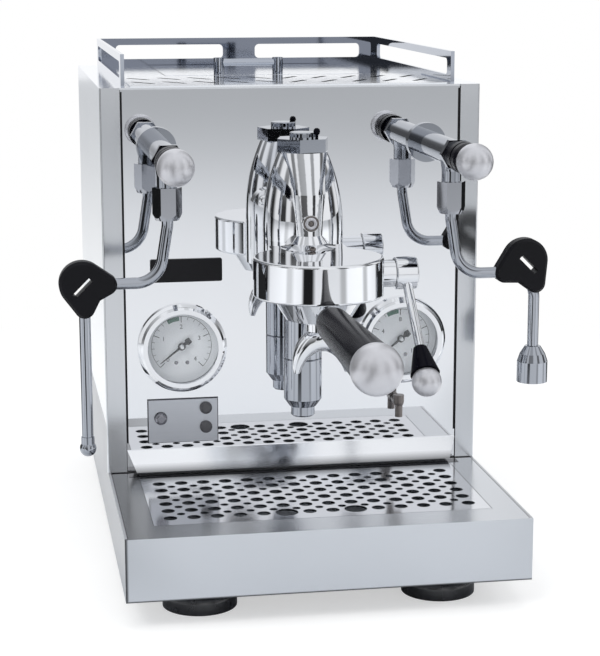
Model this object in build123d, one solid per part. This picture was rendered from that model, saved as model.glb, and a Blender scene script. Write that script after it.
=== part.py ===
from build123d import *
import math
import os

# Lever espresso machine with a standing brew group, in millimetres.
# +Z is up, -Y is the front and the origin is the middle of the footprint on the counter.

# Casing
case_width = 300.0
case_depth = 490.0
foot_height = 22.0
tray_box_height = 47.0
casing_height = 352.0
side_seam_height = 86.0
panel_setback = 173.0
flange_width = 15.5
sheet = 1.5
tub_sheet = 2.0
tub_inset = 0.6
fold_round = 1.2

# Fits
seam = 0.5
moving_gap = 0.3
running_gap = 0.05
hole_gap = 0.3
overrun = 4.0

# Feet
foot_radius = 27.8
foot_pad_round = 5.0
foot_stem_radius = 20.0
foot_stem_height = 9.0
foot_side_inset = 59.0
foot_end_inset = 52.0

# Cup plate, its slots and the tank lid
slot_length = 30.0
slot_width = 4.5
slot_pitch = 25.0
slot_tilt = -32.0
slot_row_inset = 45.0
slot_row_pitch = 48.0
slot_rows = 2
field_margin = 4.0
field_front_inset = 8.0
field_rise = 0.8
lid_side_inset = 65.0
lid_front_inset = 142.0
lid_back_inset = 17.0
lid_seat_width = 6.0
lid_frame_width = 9.0

# Lid handle
handle_bar_span = 50.8
handle_bar_offset = -12.7
handle_bar_inset = 12.0
handle_bar_height = 10.0
handle_bar_radius = 3.0
handle_peg_radius = 4.5
handle_peg_cap = 1.0

# Cup rail
rail_side_inset = 17.5
rail_front_inset = 12.0
rail_back_inset = 9.0
rail_height = 25.0
rail_thickness = 3.0
rail_bar = 6.0
rail_post = 17.0
rail_front_post = 12.0
rail_middle_post = 30.0
rail_window_round = 4.0

# Splash ledge
ledge_taper = 6.5
ledge_bottom_gap = 2.5
ledge_height = 15.5
ledge_reach = 12.0
ledge_edge = 1.5

# Control plate with its button and lamps
control_width = 55.0
control_height = 34.5
control_thickness = 2.0
control_edge_gap = 17.3
control_gap = 5.95
button_shift = -17.8
button_rise = 2.5
button_radius = 4.9
button_proud = 4.5
button_round = 2.4
button_flange_radius = 6.8
button_flange = 1.5
lamp_shift = 18.2
lamp_low_rise = -5.6
lamp_high_rise = 10.0
lamp_radius = 5.0
lamp_shank_radius = 4.0
lamp_shank_length = 8.0
lamp_proud = 3.5
lamp_round = 2.2

# Gauges
gauge_edge_inset = 45.0
gauge_gap = 6.75
bezel_radius = 35.3
bezel_step_radius = 33.2
bezel_lip_radius = 31.5
bezel_mouth_radius = 28.0
bezel_base = 3.5
bezel_slope = 2.5
bezel_step = 1.0
bezel_lip = 1.5
case_wall = 1.0
case_length = 22.0
cavity_radius = 30.0
cavity_depth = 13.0
lip_depth = 2.2
glass_thickness = 2.0
dial_thickness = 1.5
disc_gap = 0.3
pin_radius = 1.2
pin_length = 7.5
needle_gap = 2.5
needle_thickness = 1.0
needle_hub_radius = 3.2
needle_length = 22.0
needle_tail = 9.0
needle_root_width = 3.0
needle_tip_width = 0.8
needle_rest = 218.0

# Badge plate
badge_width = 56.6
badge_height = 18.3
badge_thickness = 1.5
badge_edge_gap = 20.7
badge_gap = 17.35
badge_round = 1.5

# Valves
valve_edge_inset = 27.0
valve_drop = 45.5
valve_flange_radius = 15.5
valve_flange = 4.0
valve_barrel_radius = 10.0
bonnet_flats = 21.5
bonnet_length = 6.0
valve_tail_radius = 8.0
valve_tail_length = 14.0
outlet_inset = 10.7
outlet_top_radius = 9.5
outlet_radius = 7.4
outlet_length = 21.5
outlet_neck = 8.0
union_flats = 19.0
union_length = 24.0
union_slope = 2.0
union_end_radius = 8.6

# Valve knobs
knob_ball_radius = 13.3
knob_ball_reach = 148.0
knob_back_radius = 11.8
knob_front_radius = 10.2
knob_length = 42.0
knob_cone = 10.0
knob_rim = 7.0
knob_groove = 3.0
knob_groove_radius = 9.4
knob_tail_radius = 9.6
knob_seat = 7.0
spindle_radius = 4.0
spindle_length = 14.0

# Wands
pipe_radius = 4.25
pipe_top_length = 10.0
pipe_elbow = 20.0
wand_lead = 4.0
wand_shift = 7.0
wand_drop = 92.0
steam_reach = 62.0
water_reach = 66.5
grip_disc_radius = 17.0
grip_thickness = 13.0
grip_neck_radius = 7.5
grip_edge = 2.0
grip_slot_length = 17.0
grip_slot_width = 3.6
steam_disc_out = 1.5
steam_disc_up = 1.0
steam_neck_in = 16.5
steam_neck_down = 17.0
steam_slot_shift = 2.0
water_disc_out = -8.0
water_disc_up = 9.0
water_neck_in = 24.5
water_neck_down = 8.5
water_slot_shift = -9.0
steam_tip_drop = 123.8
steam_tip_radius = 6.2
steam_neck_radius = 5.0
steam_neck_length = 9.0
nozzle_drop = 58.0
nozzle_radius = 11.8
nozzle_length = 28.0
nozzle_top_radius = 6.0
nozzle_shoulder = 12.0
nozzle_shoulder_inset = 2.0
nozzle_mouth_radius = 10.2
nozzle_mouth_depth = 2.0
nozzle_socket = 6.0

# Mounting of the brew group
neck_drop = 112.0
neck_radius = 22.0
neck_flange_size = 66.0
neck_flange = 7.0
neck_flange_round = 14.0
neck_hole_radius = 21.0
tail_radius = 7.0
tail_spread = 12.0
tail_length = 9.0

# Ring of the brew group with its chamber and the web to the tower
ring_setback = 113.0
ring_drop = 33.0
ring_height = 29.0
ring_wall = 10.8
ring_round = 2.0
lip_height = 5.0
chamber_height = 17.0
chamber_margin = 3.2
web_half = 29.0

# Tower of the brew group with its boss, plug and cap
tower_setback = 46.0
tower_radius = 30.6
tower_middle_radius = 28.0
tower_top_radius = 18.5
tower_middle_rise = 36.0
tower_height = 66.0
boss_top_radius = 18.0
boss_top_lead = 3.5
boss_middle_radius = 15.0
boss_middle_lead = 17.5
boss_foot_radius = 10.5
boss_foot_lead = 25.0
skirt_radius = 21.0
skirt_middle_radius = 14.0
skirt_middle_rise = 3.5
skirt_rise = 9.5
jet_rise = 19.5
jet_radius = 6.2
jet_proud = 3.0
jet_hole_radius = 2.3
jet_hole_depth = 3.0
jet_buried = 8.0
cap_flats = 36.5
cap_hex = 10.0
cap_turn = 15.0
cap_disc_radius = 10.0
cap_disc_height = 4.5
cap_disc_round = 1.0

# Seal and screen inside the ring
gasket_width = 7.7
gasket_height = 5.1
gasket_gap = 0.2
screen_gap = 0.8
screen_thickness = 2.5
screen_drop = 4.5
screen_stub_radius = 9.5

# Infusion and exhaust valve under the tower
exhaust_radius = 14.8
exhaust_neck_radius = 12.0
exhaust_neck_length = 24.0
exhaust_upper_length = 37.0
exhaust_lower_length = 32.0
exhaust_groove = 0.7
exhaust_taper = 6.0
exhaust_taper_radius = 10.5
exhaust_spout_radius = 9.2
exhaust_spout_chamfer = 1.2
exhaust_spout_length = 8.0
exhaust_outlet_radius = 5.0
exhaust_outlet_depth = 12.0

# Cam gland and brew lever
cam_setback = 63.0
cam_rise = 6.0
gland_flats = 25.0
gland_buried = 24.0
gland_collar_radius = 10.5
gland_collar_length = 20.0
gland_bore_length = 26.0
hub_width = 17.0
hub_radius = 12.5
lever_spindle_radius = 4.0
lever_spindle_length = 22.0
lever_drop = 42.8
lever_rod_radius = 3.65
lever_rod_length = 76.0
lever_cone_start = 71.0
lever_cone_length = 23.0
lever_cone_small = 5.2
lever_cone_large = 11.0
lever_ball_radius = 11.0
lever_ball_seat = 7.0

# Portafilter
bowl_rim_radius = 34.0
bowl_seat_gap = 0.5
bowl_waist_drop = 2.0
bowl_waist_step = 0.6
bowl_drop = 17.0
bowl_bottom_radius = 24.0
bowl_base_radius = 16.0
bowl_base_height = 2.5
bowl_wall = 3.3
bowl_floor_thickness = 7.0
bowl_floor_radius = 24.0
bowl_hole_radius = 4.0
ear_gap = 0.4
ear_half = 9.0
ear_height = 6.6
ear_slot_gap = 1.5
lock_angle = 45.0
basket_sheet = 0.9
basket_gap = 0.5
basket_flange = 1.4
basket_flange_gap = 0.4
basket_floor_gap = 2.0
arm_drop = 10.2
arm_radius = 7.0
arm_buried = 12.0
grip_gap = 3.0
grip_length = 145.0
grip_start_radius = 11.0
grip_waist = 9.0
grip_waist_radius = 12.4
grip_end_radius = 15.6
portafilter_ball_radius = 17.0
portafilter_ball_seat = 8.0
spout_boss_radius = 9.5
spout_boss_height = 9.0
spout_offset = 3.0
spout_half = 19.0
spout_arch_drop = 7.0
spout_tip_drop = 41.0
spout_root_radius = 9.0
spout_tip_radius = 2.2
spout_steps = 5

# Drip tray and grid
tray_front_thickness = 2.0
tray_rim_sheet = 1.5
tray_side_gap = 0.4
tray_back_gap = 4.0
tray_wall = 1.5
grid_side_inset = 24.0
grid_front_inset = 29.5
grid_back_gap = 4.0
grid_thickness = 1.5
grid_gap = 0.4
grid_lip = 3.0
grid_lip_thickness = 1.4
pan_side_margin = 4.0
hole_radius = 5.0
small_hole_radius = 3.1
finger_hole_radius = 8.5
hole_pitch_x = 17.3
hole_pitch_y = 17.9
first_hole_inset = 16.5
finger_column = 1.5

# Drain cock
drain_edge_inset = 50.0
drain_gap = 13.2
drain_radius = 4.0
drain_reach = 14.0
drain_tail = 8.0
drain_length = 12.0
drain_tip_radius = 3.0
drain_knob_radius = 4.2
drain_knob_length = 6.0

# Back panel
vent_length = 60.0
vent_width = 4.0
vent_pitch = 12.0
vent_count = 8
vent_rise = 92.0
vent_edge_inset = 74.0
inlet_width = 48.0
inlet_height = 28.0
inlet_depth = 18.0
inlet_flange = 3.0
inlet_margin = 3.5
inlet_edge_inset = 44.0
inlet_rise = 32.0
inlet_socket_margin = 4.0
inlet_socket_depth = 15.0
inlet_pin_radius = 1.8
inlet_pin_length = 12.0
inlet_pin_spread = 7.0

# Inside of the casing
boiler_radius = 48.0
boiler_length = 196.0
boiler_drop = 22.0
boiler_gap = 4.0
boiler_rim = 5.0
boiler_flange = 6.0
leg_width = 30.0
leg_thickness = 4.0
leg_spread = 75.0
syphon_radius = 5.0
supply_radius = 4.0
supply_lead = 37.0
supply_bend = 14.0
pump_radius = 24.0
pump_length = 80.0
pump_offset = 20.0
pump_foot_width = 30.0
pump_foot_length = 60.0
pump_lift = 8.0
tank_side_gap = 4.3
tank_back_gap = 2.3
tank_depth = 76.0
tank_top_gap = 21.7
tank_wall = 2.5
tank_round = 8.0

# Planes of the casing
front_y = -case_depth / 2
back_y = case_depth / 2
panel_y = front_y + panel_setback
panel_back_y = panel_y + sheet
tub_x = case_width / 2 - tub_inset
floor_top = foot_height + tub_sheet
rim_top = foot_height + tray_box_height
side_seam = foot_height + side_seam_height
casing_top = foot_height + casing_height
plate_bottom = casing_top - sheet
panel_half = case_width / 2 - flange_width - seam
tray_front_back_y = front_y + tray_front_thickness
foot_pad_height = foot_height - foot_stem_height
rail_half_width = case_width / 2 - rail_side_inset

# Tank lid and the opening under it
lid_half_width = case_width / 2 - lid_side_inset
lid_front_y = panel_y + lid_front_inset
lid_back_y = back_y - lid_back_inset
mouth_x = lid_half_width + moving_gap
mouth_front_y = lid_front_y - moving_gap
mouth_back_y = lid_back_y + moving_gap
seat_x = mouth_x - lid_seat_width
tank_half_width = seat_x - tank_side_gap
tank_back_y = mouth_back_y - lid_seat_width - tank_back_gap
tank_front_y = tank_back_y - tank_depth
tank_bottom = floor_top + moving_gap
tank_top = plate_bottom - sheet - tank_top_gap

# Grid and its opening in the tray
grid_half_width = case_width / 2 - grid_side_inset
grid_front_y = front_y + grid_front_inset
grid_back_y = panel_y - ledge_reach - grid_back_gap
grid_seat_z = rim_top - grid_thickness - moving_gap
grid_seat_bottom = grid_seat_z - grid_lip_thickness
tray_back_y = panel_y - tray_back_gap
pan_x = grid_half_width + grid_gap + pan_side_margin
pan_bottom = floor_top + moving_gap
hole_columns = int(2 * grid_half_width / hole_pitch_x)
hole_rows = 1 + int((grid_back_y - grid_front_y - 2 * first_hole_inset) / hole_pitch_y)

# Controls, gauges and badge, from the ledge upwards
control_x = control_edge_gap + control_width / 2 - panel_half
control_z = rim_top + ledge_bottom_gap + ledge_height + control_gap + control_height / 2
button_x = control_x + button_shift
button_z = control_z + button_rise
lamp_x = control_x + lamp_shift
lamp_levels = (control_z + lamp_low_rise, control_z + lamp_high_rise)
gauge_spread = panel_half - gauge_edge_inset
gauge_z = control_z + control_height / 2 + gauge_gap + bezel_radius
case_radius = cavity_radius + case_wall
disc_radius = cavity_radius - disc_gap
bezel_front_y = panel_y - bezel_base - bezel_slope - bezel_step - bezel_lip
dial_face_y = bezel_front_y + lip_depth + cavity_depth - dial_thickness
badge_x = badge_edge_gap + badge_width / 2 - panel_half
badge_z = gauge_z + bezel_radius + badge_gap + badge_height / 2
drain_x = panel_half - drain_edge_inset
drain_z = gauge_z - bezel_radius - drain_gap
vent_spread = panel_half - vent_edge_inset
inlet_x = panel_half - inlet_edge_inset
inlet_z = side_seam + inlet_rise

# Valves, knobs and wands
valve_spread = panel_half - valve_edge_inset
valve_z = casing_top - valve_drop
knob_ball_y = panel_y - knob_ball_reach
knob_front_y = knob_ball_y + knob_seat
knob_back_y = knob_front_y + knob_length
bonnet_front_y = knob_back_y + moving_gap
bonnet_back_y = bonnet_front_y + bonnet_length
outlet_y = bonnet_back_y + outlet_inset
outlet_bottom = valve_z - outlet_length
union_bottom = outlet_bottom - union_length
wand_z = valve_z - wand_drop
steam_x = valve_spread + steam_reach
water_x = valve_spread + water_reach
steam_tip_z = wand_z - steam_tip_drop
nozzle_top = wand_z - nozzle_drop
nozzle_bottom = nozzle_top - nozzle_length

# Brew group and portafilter
neck_z = casing_top - neck_drop
tower_y = panel_y - tower_setback
ring_y = panel_y - ring_setback
ring_bottom = neck_z - ring_drop
ring_top = ring_bottom + ring_height
lip_top = ring_bottom + lip_height
lip_radius = bowl_rim_radius + moving_gap
chamber_radius = bowl_rim_radius + chamber_margin
chamber_top = lip_top + chamber_height
ring_radius = chamber_radius + ring_wall
tower_middle = neck_z + tower_middle_rise
tower_top = neck_z + tower_height
gasket_outer_radius = chamber_radius - gasket_gap
gasket_inner_radius = gasket_outer_radius - gasket_width
gasket_bottom = chamber_top - gasket_height
screen_radius = gasket_inner_radius - screen_gap
bowl_rim_top = gasket_bottom - bowl_seat_gap - basket_flange
bowl_waist = ring_bottom - bowl_waist_drop
bowl_bottom = ring_bottom - bowl_drop
bowl_base = bowl_bottom - bowl_base_height
bowl_floor = bowl_bottom + bowl_floor_thickness
bowl_bore_radius = bowl_rim_radius - bowl_wall
ear_radius = chamber_radius - ear_gap
ear_bottom = lip_top + ear_gap
basket_radius = bowl_bore_radius - basket_gap
basket_flange_radius = bowl_rim_radius - basket_flange_gap
basket_bottom = bowl_floor + basket_floor_gap
arm_z = ring_bottom - arm_drop
grip_front_y = ring_y - ring_radius - grip_gap
grip_end_y = grip_front_y - grip_length

# Cam and lever
cam_y = panel_y - cam_setback
cam_z = ring_bottom + cam_rise
hub_start = ring_radius + gland_collar_length
lever_cone_end = lever_cone_start + lever_cone_length

# Boiler
boiler_flange_radius = boiler_radius + boiler_rim
boiler_y = panel_y + case_length + boiler_gap + boiler_flange_radius
supply_spread = valve_spread - supply_lead
boiler_z = neck_z - boiler_drop


def block(x_from, x_to, y_from, y_to, z_from, z_to):
    """A block between two corners."""
    middle = Pos((x_from + x_to) / 2, (y_from + y_to) / 2, (z_from + z_to) / 2)
    return middle * Box(x_to - x_from, y_to - y_from, z_to - z_from)


def rod_x(radius, x_from, x_to, y, z):
    """A round rod along X."""
    middle = Pos((x_from + x_to) / 2, y, z)
    return middle * Rot(0, 90, 0) * Cylinder(radius, abs(x_to - x_from))


def rod_y(radius, y_from, y_to, x, z):
    """A round rod along Y."""
    middle = Pos(x, (y_from + y_to) / 2, z)
    return middle * Rot(90, 0, 0) * Cylinder(radius, abs(y_to - y_from))


def rod_z(radius, z_from, z_to, x, y):
    """A round rod along Z."""
    return Pos(x, y, (z_from + z_to) / 2) * Cylinder(radius, abs(z_to - z_from))


def turned_z(points, x, y):
    """A profile of (radius, height) points turned about a vertical line."""
    face = Plane.XZ * make_face(Polyline(*points, close=True))
    return Pos(x, y, 0) * revolve(face, Axis.Z)


def turned_y(points, x, z):
    """A profile of (radius, y) points turned about a line along Y."""
    face = make_face(Polyline(*points, close=True))
    return Pos(x, 0, z) * revolve(face, Axis.Y)


def hexagon(flats):
    """A hexagon measured across its flats."""
    return RegularPolygon(flats / 2, 6, major_radius=False)


def hex_y(flats, y_from, y_to, x, z):
    """A hexagon bar along Y."""
    start = Plane((x, min(y_from, y_to), z), x_dir=(1, 0, 0), z_dir=(0, 1, 0))
    return extrude(start * hexagon(flats), abs(y_to - y_from))


def hex_x(flats, x_from, x_to, y, z):
    """A hexagon bar along X."""
    start = Plane((min(x_from, x_to), y, z), x_dir=(0, 1, 0), z_dir=(1, 0, 0))
    return extrude(start * hexagon(flats), abs(x_to - x_from))


def hex_z(flats, z_from, z_to, x, y):
    """An upright hexagon bar."""
    start = Plane((x, y, min(z_from, z_to)))
    return extrude(start * hexagon(flats), abs(z_to - z_from))


def end_corners(solid):
    """The edges along Z on the right-hand side, at the front end and at the back end."""
    box = solid.bounding_box()
    edges = solid.edges().filter_by(Axis.Z).filter_by_position(Axis.X, box.max.X, box.max.X)
    front = edges.filter_by_position(Axis.Y, box.min.Y, box.min.Y)
    return front + edges.filter_by_position(Axis.Y, box.max.Y, box.max.Y)


def bent_rod(points, bends, radius):
    """A round rod along straight runs joined by arcs."""
    path = FilletPolyline(*points, radius=bends)
    start = Plane(path @ 0, z_dir=path % 0)
    return sweep(start * Circle(radius), path)


def make_base_tub():
    """Floor, side walls that rise behind the front panel, back wall and cross wall."""
    wall_x = tub_x - tub_sheet
    tub_front_y = tray_front_back_y + moving_gap
    tub = block(-tub_x, tub_x, tub_front_y, back_y, foot_height, floor_top)
    for side in (-1, 1):
        inner = side * wall_x
        outer = side * tub_x
        low_wall = block(min(inner, outer), max(inner, outer), tub_front_y, back_y, foot_height, rim_top)
        high_wall = block(min(inner, outer), max(inner, outer), panel_y, back_y, foot_height, side_seam)
        tub += low_wall + high_wall
    tub += block(-tub_x, tub_x, back_y - tub_sheet, back_y, foot_height, side_seam)
    tub += block(-wall_x, wall_x, panel_y, panel_y + tub_sheet, foot_height, rim_top + seam)
    return tub


def foot_places():
    """Centres of the four feet."""
    foot_x = case_width / 2 - foot_side_inset
    foot_y = case_depth / 2 - foot_end_inset
    return [(x, y) for x in (-foot_x, foot_x) for y in (-foot_y, foot_y)]


def make_foot_pads():
    """Rubber discs with a rounded upper edge."""
    pads = []
    for x, y in foot_places():
        pad = rod_z(foot_radius, 0, foot_pad_height, x, y)
        pads.append(fillet(pad.edges().group_by(Axis.Z)[-1], foot_pad_round))
    return pads


def make_foot_stems():
    """Metal collars between the pads and the floor of the tub."""
    return [rod_z(foot_stem_radius, foot_pad_height, foot_height, x, y) for x, y in foot_places()]


def make_side_panel(side):
    """A side wall with folded flanges at the front and the back."""
    outer = case_width / 2
    wall = block(outer - sheet, outer, panel_y - sheet, back_y, side_seam, casing_top)
    front = block(outer - flange_width, outer, panel_y - sheet, panel_y, rim_top + moving_gap, casing_top)
    back = block(outer - flange_width, outer, back_y - sheet, back_y, side_seam, casing_top)
    panel = wall + front + back
    panel = fillet(end_corners(panel), fold_round)
    return panel if side > 0 else mirror(panel, Plane.YZ)


def make_front_panel():
    """The polished front sheet with holes for the group, valves, gauges and controls."""
    panel = block(-panel_half, panel_half, panel_y, panel_back_y, rim_top + seam, plate_bottom)
    holes = [(0, neck_z, neck_hole_radius), (button_x, button_z, button_radius + hole_gap)]
    holes.append((drain_x, drain_z, drain_radius + hole_gap))
    for side in (-1, 1):
        holes.append((side * valve_spread, valve_z, valve_tail_radius + hole_gap))
        holes.append((side * gauge_spread, gauge_z, case_radius + hole_gap))
    for height in lamp_levels:
        holes.append((lamp_x, height, lamp_shank_radius + hole_gap))
    for x, z, radius in holes:
        panel -= rod_y(radius, panel_y - overrun, panel_back_y + overrun, x, z)
    return panel


def make_rear_panel():
    """The back sheet with two columns of vent slots and the cut-out of the power inlet."""
    panel = block(-panel_half, panel_half, back_y - sheet, back_y, side_seam, plate_bottom)
    for side in (-1, 1):
        for row in range(vent_count):
            middle = (side * vent_spread, back_y, side_seam + vent_rise + row * vent_pitch)
            start = Plane(middle, x_dir=(1, 0, 0), z_dir=(0, -1, 0))
            slot = extrude(start * SlotOverall(vent_length, vent_width), overrun, both=True)
            panel -= slot
    half_width = inlet_width / 2 + hole_gap
    half_height = inlet_height / 2 + hole_gap
    panel -= block(
        inlet_x - half_width,
        inlet_x + half_width,
        back_y - overrun,
        back_y + overrun,
        inlet_z - half_height,
        inlet_z + half_height,
    )
    return panel


def press_cup_field(plate):
    """The plate with its middle pressed up a little between the rails, where the cups stand."""
    x_to = rail_half_width - rail_thickness - field_margin
    y_from = panel_y + field_front_inset
    y_to = mouth_front_y - lid_frame_width - field_margin
    plate += block(-x_to, x_to, y_from, y_to, plate_bottom, casing_top + field_rise)
    return plate - block(
        -x_to + sheet,
        x_to - sheet,
        y_from + sheet,
        y_to - sheet,
        plate_bottom,
        plate_bottom + field_rise,
    )


def make_cup_plate():
    """The top sheet with slanted slots and a seated opening for the tank lid."""
    edge_x = case_width / 2 - sheet
    plate = block(-edge_x, edge_x, panel_y, back_y - sheet, plate_bottom, casing_top)
    plate = press_cup_field(plate)
    frame_x = mouth_x + lid_frame_width
    frame_front_y = mouth_front_y - lid_frame_width
    frame_back_y = mouth_back_y + lid_frame_width
    plate += block(-frame_x, frame_x, frame_front_y, frame_back_y, plate_bottom - sheet, plate_bottom)
    plate -= block(-mouth_x, mouth_x, mouth_front_y, mouth_back_y, plate_bottom, casing_top)
    seat_front_y = mouth_front_y + lid_seat_width
    seat_back_y = mouth_back_y - lid_seat_width
    plate -= block(-seat_x, seat_x, seat_front_y, seat_back_y, plate_bottom - overrun, casing_top)
    slot_columns = int(2 * rail_half_width / slot_pitch)
    first_x = -(slot_columns - 1) / 2 * slot_pitch
    for row in range(slot_rows):
        slot_y = panel_y + slot_row_inset + row * slot_row_pitch
        for column in range(slot_columns):
            slot_x = first_x + column * slot_pitch
            tilt = 90 + math.copysign(slot_tilt, -slot_x)
            start = Pos(slot_x, slot_y, plate_bottom - overrun) * Rot(0, 0, tilt)
            plate -= extrude(start * SlotOverall(slot_length, slot_width), sheet + 2 * overrun)
    return plate


def make_side_rail(side):
    """An upright flat length of rail with one long window."""
    outer = rail_half_width
    y_from = panel_y + rail_front_inset
    y_to = back_y - rail_back_inset
    z_to = casing_top + rail_height
    rail = block(outer - rail_thickness, outer, y_from, y_to, casing_top, z_to)
    window = block(
        outer - rail_thickness - overrun,
        outer + overrun,
        y_from + rail_front_post,
        y_to - rail_post,
        casing_top + rail_bar,
        z_to - rail_bar,
    )
    window = fillet(window.edges().filter_by(Axis.X), rail_window_round)
    rail -= window
    return rail if side > 0 else mirror(rail, Plane.YZ)


def make_rear_rail():
    """The back length of rail with two windows beside a middle post."""
    half = rail_half_width - rail_thickness
    y_to = back_y - rail_back_inset
    y_from = y_to - rail_thickness
    z_to = casing_top + rail_height
    rail = block(-half, half, y_from, y_to, casing_top, z_to)
    for side in (-1, 1):
        ends = sorted((side * rail_middle_post / 2, side * (rail_half_width - rail_post)))
        window = block(
            ends[0],
            ends[1],
            y_from - overrun,
            y_to + overrun,
            casing_top + rail_bar,
            z_to - rail_bar,
        )
        rail -= fillet(window.edges().filter_by(Axis.Y), rail_window_round)
    return rail


def make_splash_ledge():
    """A sloped strip along the foot of the front panel, narrower at its lower edge."""
    bottom_z = rim_top + ledge_bottom_gap
    top_z = bottom_z + ledge_height
    top_y = panel_y - ledge_edge
    bottom_y = panel_y - ledge_reach
    top_middle = Plane((0, (top_y + panel_y) / 2, top_z))
    bottom_middle = Plane((0, (bottom_y + panel_y) / 2, bottom_z))
    top = top_middle * Rectangle(2 * panel_half, panel_y - top_y)
    bottom = bottom_middle * Rectangle(2 * (panel_half - ledge_taper), panel_y - bottom_y)
    return loft([bottom, top], ruled=True)


def make_badge_plate():
    """A bare plate with rounded corners on the front panel."""
    plate = block(
        badge_x - badge_width / 2,
        badge_x + badge_width / 2,
        panel_y - badge_thickness,
        panel_y,
        badge_z - badge_height / 2,
        badge_z + badge_height / 2,
    )
    return fillet(plate.edges().filter_by(Axis.Y), badge_round)


def make_control_plate():
    """A plate with holes for the power button and the two pilot lamps."""
    plate = block(
        control_x - control_width / 2,
        control_x + control_width / 2,
        panel_y - control_thickness,
        panel_y,
        control_z - control_height / 2,
        control_z + control_height / 2,
    )
    holes = [(button_x, button_z, button_radius + hole_gap)]
    holes += [(lamp_x, height, lamp_shank_radius + running_gap) for height in lamp_levels]
    for x, z, radius in holes:
        plate -= rod_y(radius, panel_y - control_thickness - overrun, panel_y + overrun, x, z)
    return plate


def make_power_button():
    """A round push button with a rounded nose and a flange behind the panel."""
    nose_y = panel_y - control_thickness - button_proud
    flange_y = panel_back_y + moving_gap
    cap = rod_y(button_radius, nose_y, flange_y, button_x, button_z)
    cap = fillet(cap.edges().group_by(Axis.Y)[0], button_round)
    return cap + rod_y(button_flange_radius, flange_y, flange_y + button_flange, button_x, button_z)


def make_pilot_lamps():
    """Round lamps with shanks that pass through the control plate."""
    lamps = []
    face_y = panel_y - control_thickness
    for height in lamp_levels:
        dome = rod_y(lamp_radius, face_y - lamp_proud, face_y, lamp_x, height)
        dome = fillet(dome.edges().group_by(Axis.Y)[0], lamp_round)
        lamps.append(dome + rod_y(lamp_shank_radius, face_y, face_y + lamp_shank_length, lamp_x, height))
    return lamps


def make_gauge_cases():
    """Gauge cases with a stepped bezel in front of the panel."""
    cavity_front = bezel_front_y + lip_depth
    cavity_back = cavity_front + cavity_depth
    profile = [
        (0, panel_y + case_length),
        (case_radius, panel_y + case_length),
        (case_radius, panel_y),
        (bezel_radius, panel_y),
        (bezel_radius, panel_y - bezel_base),
        (bezel_step_radius, panel_y - bezel_base - bezel_slope),
        (bezel_step_radius, panel_y - bezel_base - bezel_slope - bezel_step),
        (bezel_lip_radius, bezel_front_y),
        (bezel_mouth_radius, bezel_front_y),
        (bezel_mouth_radius, cavity_front),
        (cavity_radius, cavity_front),
        (cavity_radius, cavity_back),
        (0, cavity_back),
    ]
    return [turned_y(profile, side * gauge_spread, gauge_z) for side in (-1, 1)]


def make_gauge_dials():
    """Round dials, each with the pin that its needle turns on."""
    dials = []
    for side in (-1, 1):
        x = side * gauge_spread
        disc = rod_y(disc_radius, dial_face_y, dial_face_y + dial_thickness, x, gauge_z)
        dials.append(disc + rod_y(pin_radius, dial_face_y - pin_length, dial_face_y, x, gauge_z))
    return dials


def make_gauge_glasses():
    """Round glasses behind the lip of each bezel."""
    front = bezel_front_y + lip_depth
    back = front + glass_thickness
    return [rod_y(disc_radius, front, back, side * gauge_spread, gauge_z) for side in (-1, 1)]


def make_needle(side):
    """A needle with a tapered tip and a short broad tail, pointing down to the left at rest."""
    x = side * gauge_spread
    y_back = dial_face_y - needle_gap
    y_front = y_back - needle_thickness
    outline = [
        (-needle_tail, needle_root_width / 2),
        (0, needle_root_width / 2),
        (needle_length, needle_tip_width / 2),
        (needle_length, -needle_tip_width / 2),
        (0, -needle_root_width / 2),
        (-needle_tail, -needle_root_width / 2),
    ]
    start = Plane((x, y_back, gauge_z), x_dir=(1, 0, 0), z_dir=(0, -1, 0))
    shape = Rot(0, 0, needle_rest) * make_face(Polyline(*outline, close=True))
    blade = extrude(start * shape, needle_thickness)
    hub = rod_y(needle_hub_radius, y_front, y_back, x, gauge_z)
    return blade + hub - rod_y(pin_radius + running_gap, y_front - overrun, y_back + overrun, x, gauge_z)


def make_valve_body(side):
    """A valve with a wall flange, a barrel, a hexagon bonnet and an outlet that points down."""
    x = side * valve_spread
    flange_y = panel_y - valve_flange
    body = rod_y(valve_flange_radius, flange_y, panel_y, x, valve_z)
    body += rod_y(valve_barrel_radius, bonnet_back_y, flange_y, x, valve_z)
    body += hex_y(bonnet_flats, bonnet_front_y, bonnet_back_y, x, valve_z)
    body += rod_y(valve_tail_radius, panel_y, panel_y + valve_tail_length, x, valve_z)
    neck_z = outlet_bottom + outlet_neck
    outlet = [
        (0, outlet_bottom),
        (outlet_radius, outlet_bottom),
        (outlet_radius, neck_z),
        (outlet_top_radius, valve_z),
        (0, valve_z),
    ]
    body += turned_z(outlet, x, outlet_y)
    pipe_end = outlet_bottom + pipe_top_length + moving_gap
    body -= rod_z(pipe_radius + running_gap, outlet_bottom, pipe_end, x, outlet_y)
    bore_end = bonnet_front_y + spindle_length + moving_gap
    body -= rod_y(spindle_radius + running_gap, bonnet_front_y, bore_end, x, valve_z)
    return body


def make_union_nuts():
    """Hexagon nuts under the valve outlets, bored for the wand pipes."""
    corner = union_flats / math.sqrt(3) + hole_gap
    profile = [
        (pipe_radius + running_gap, union_bottom),
        (union_end_radius, union_bottom),
        (corner, union_bottom + union_slope * (corner - union_end_radius)),
        (corner, outlet_bottom),
        (pipe_radius + running_gap, outlet_bottom),
    ]
    nuts = []
    for side in (-1, 1):
        x = side * valve_spread
        nuts.append(hex_z(union_flats, union_bottom, outlet_bottom, x, outlet_y) & turned_z(profile, x, outlet_y))
    return nuts


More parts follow.
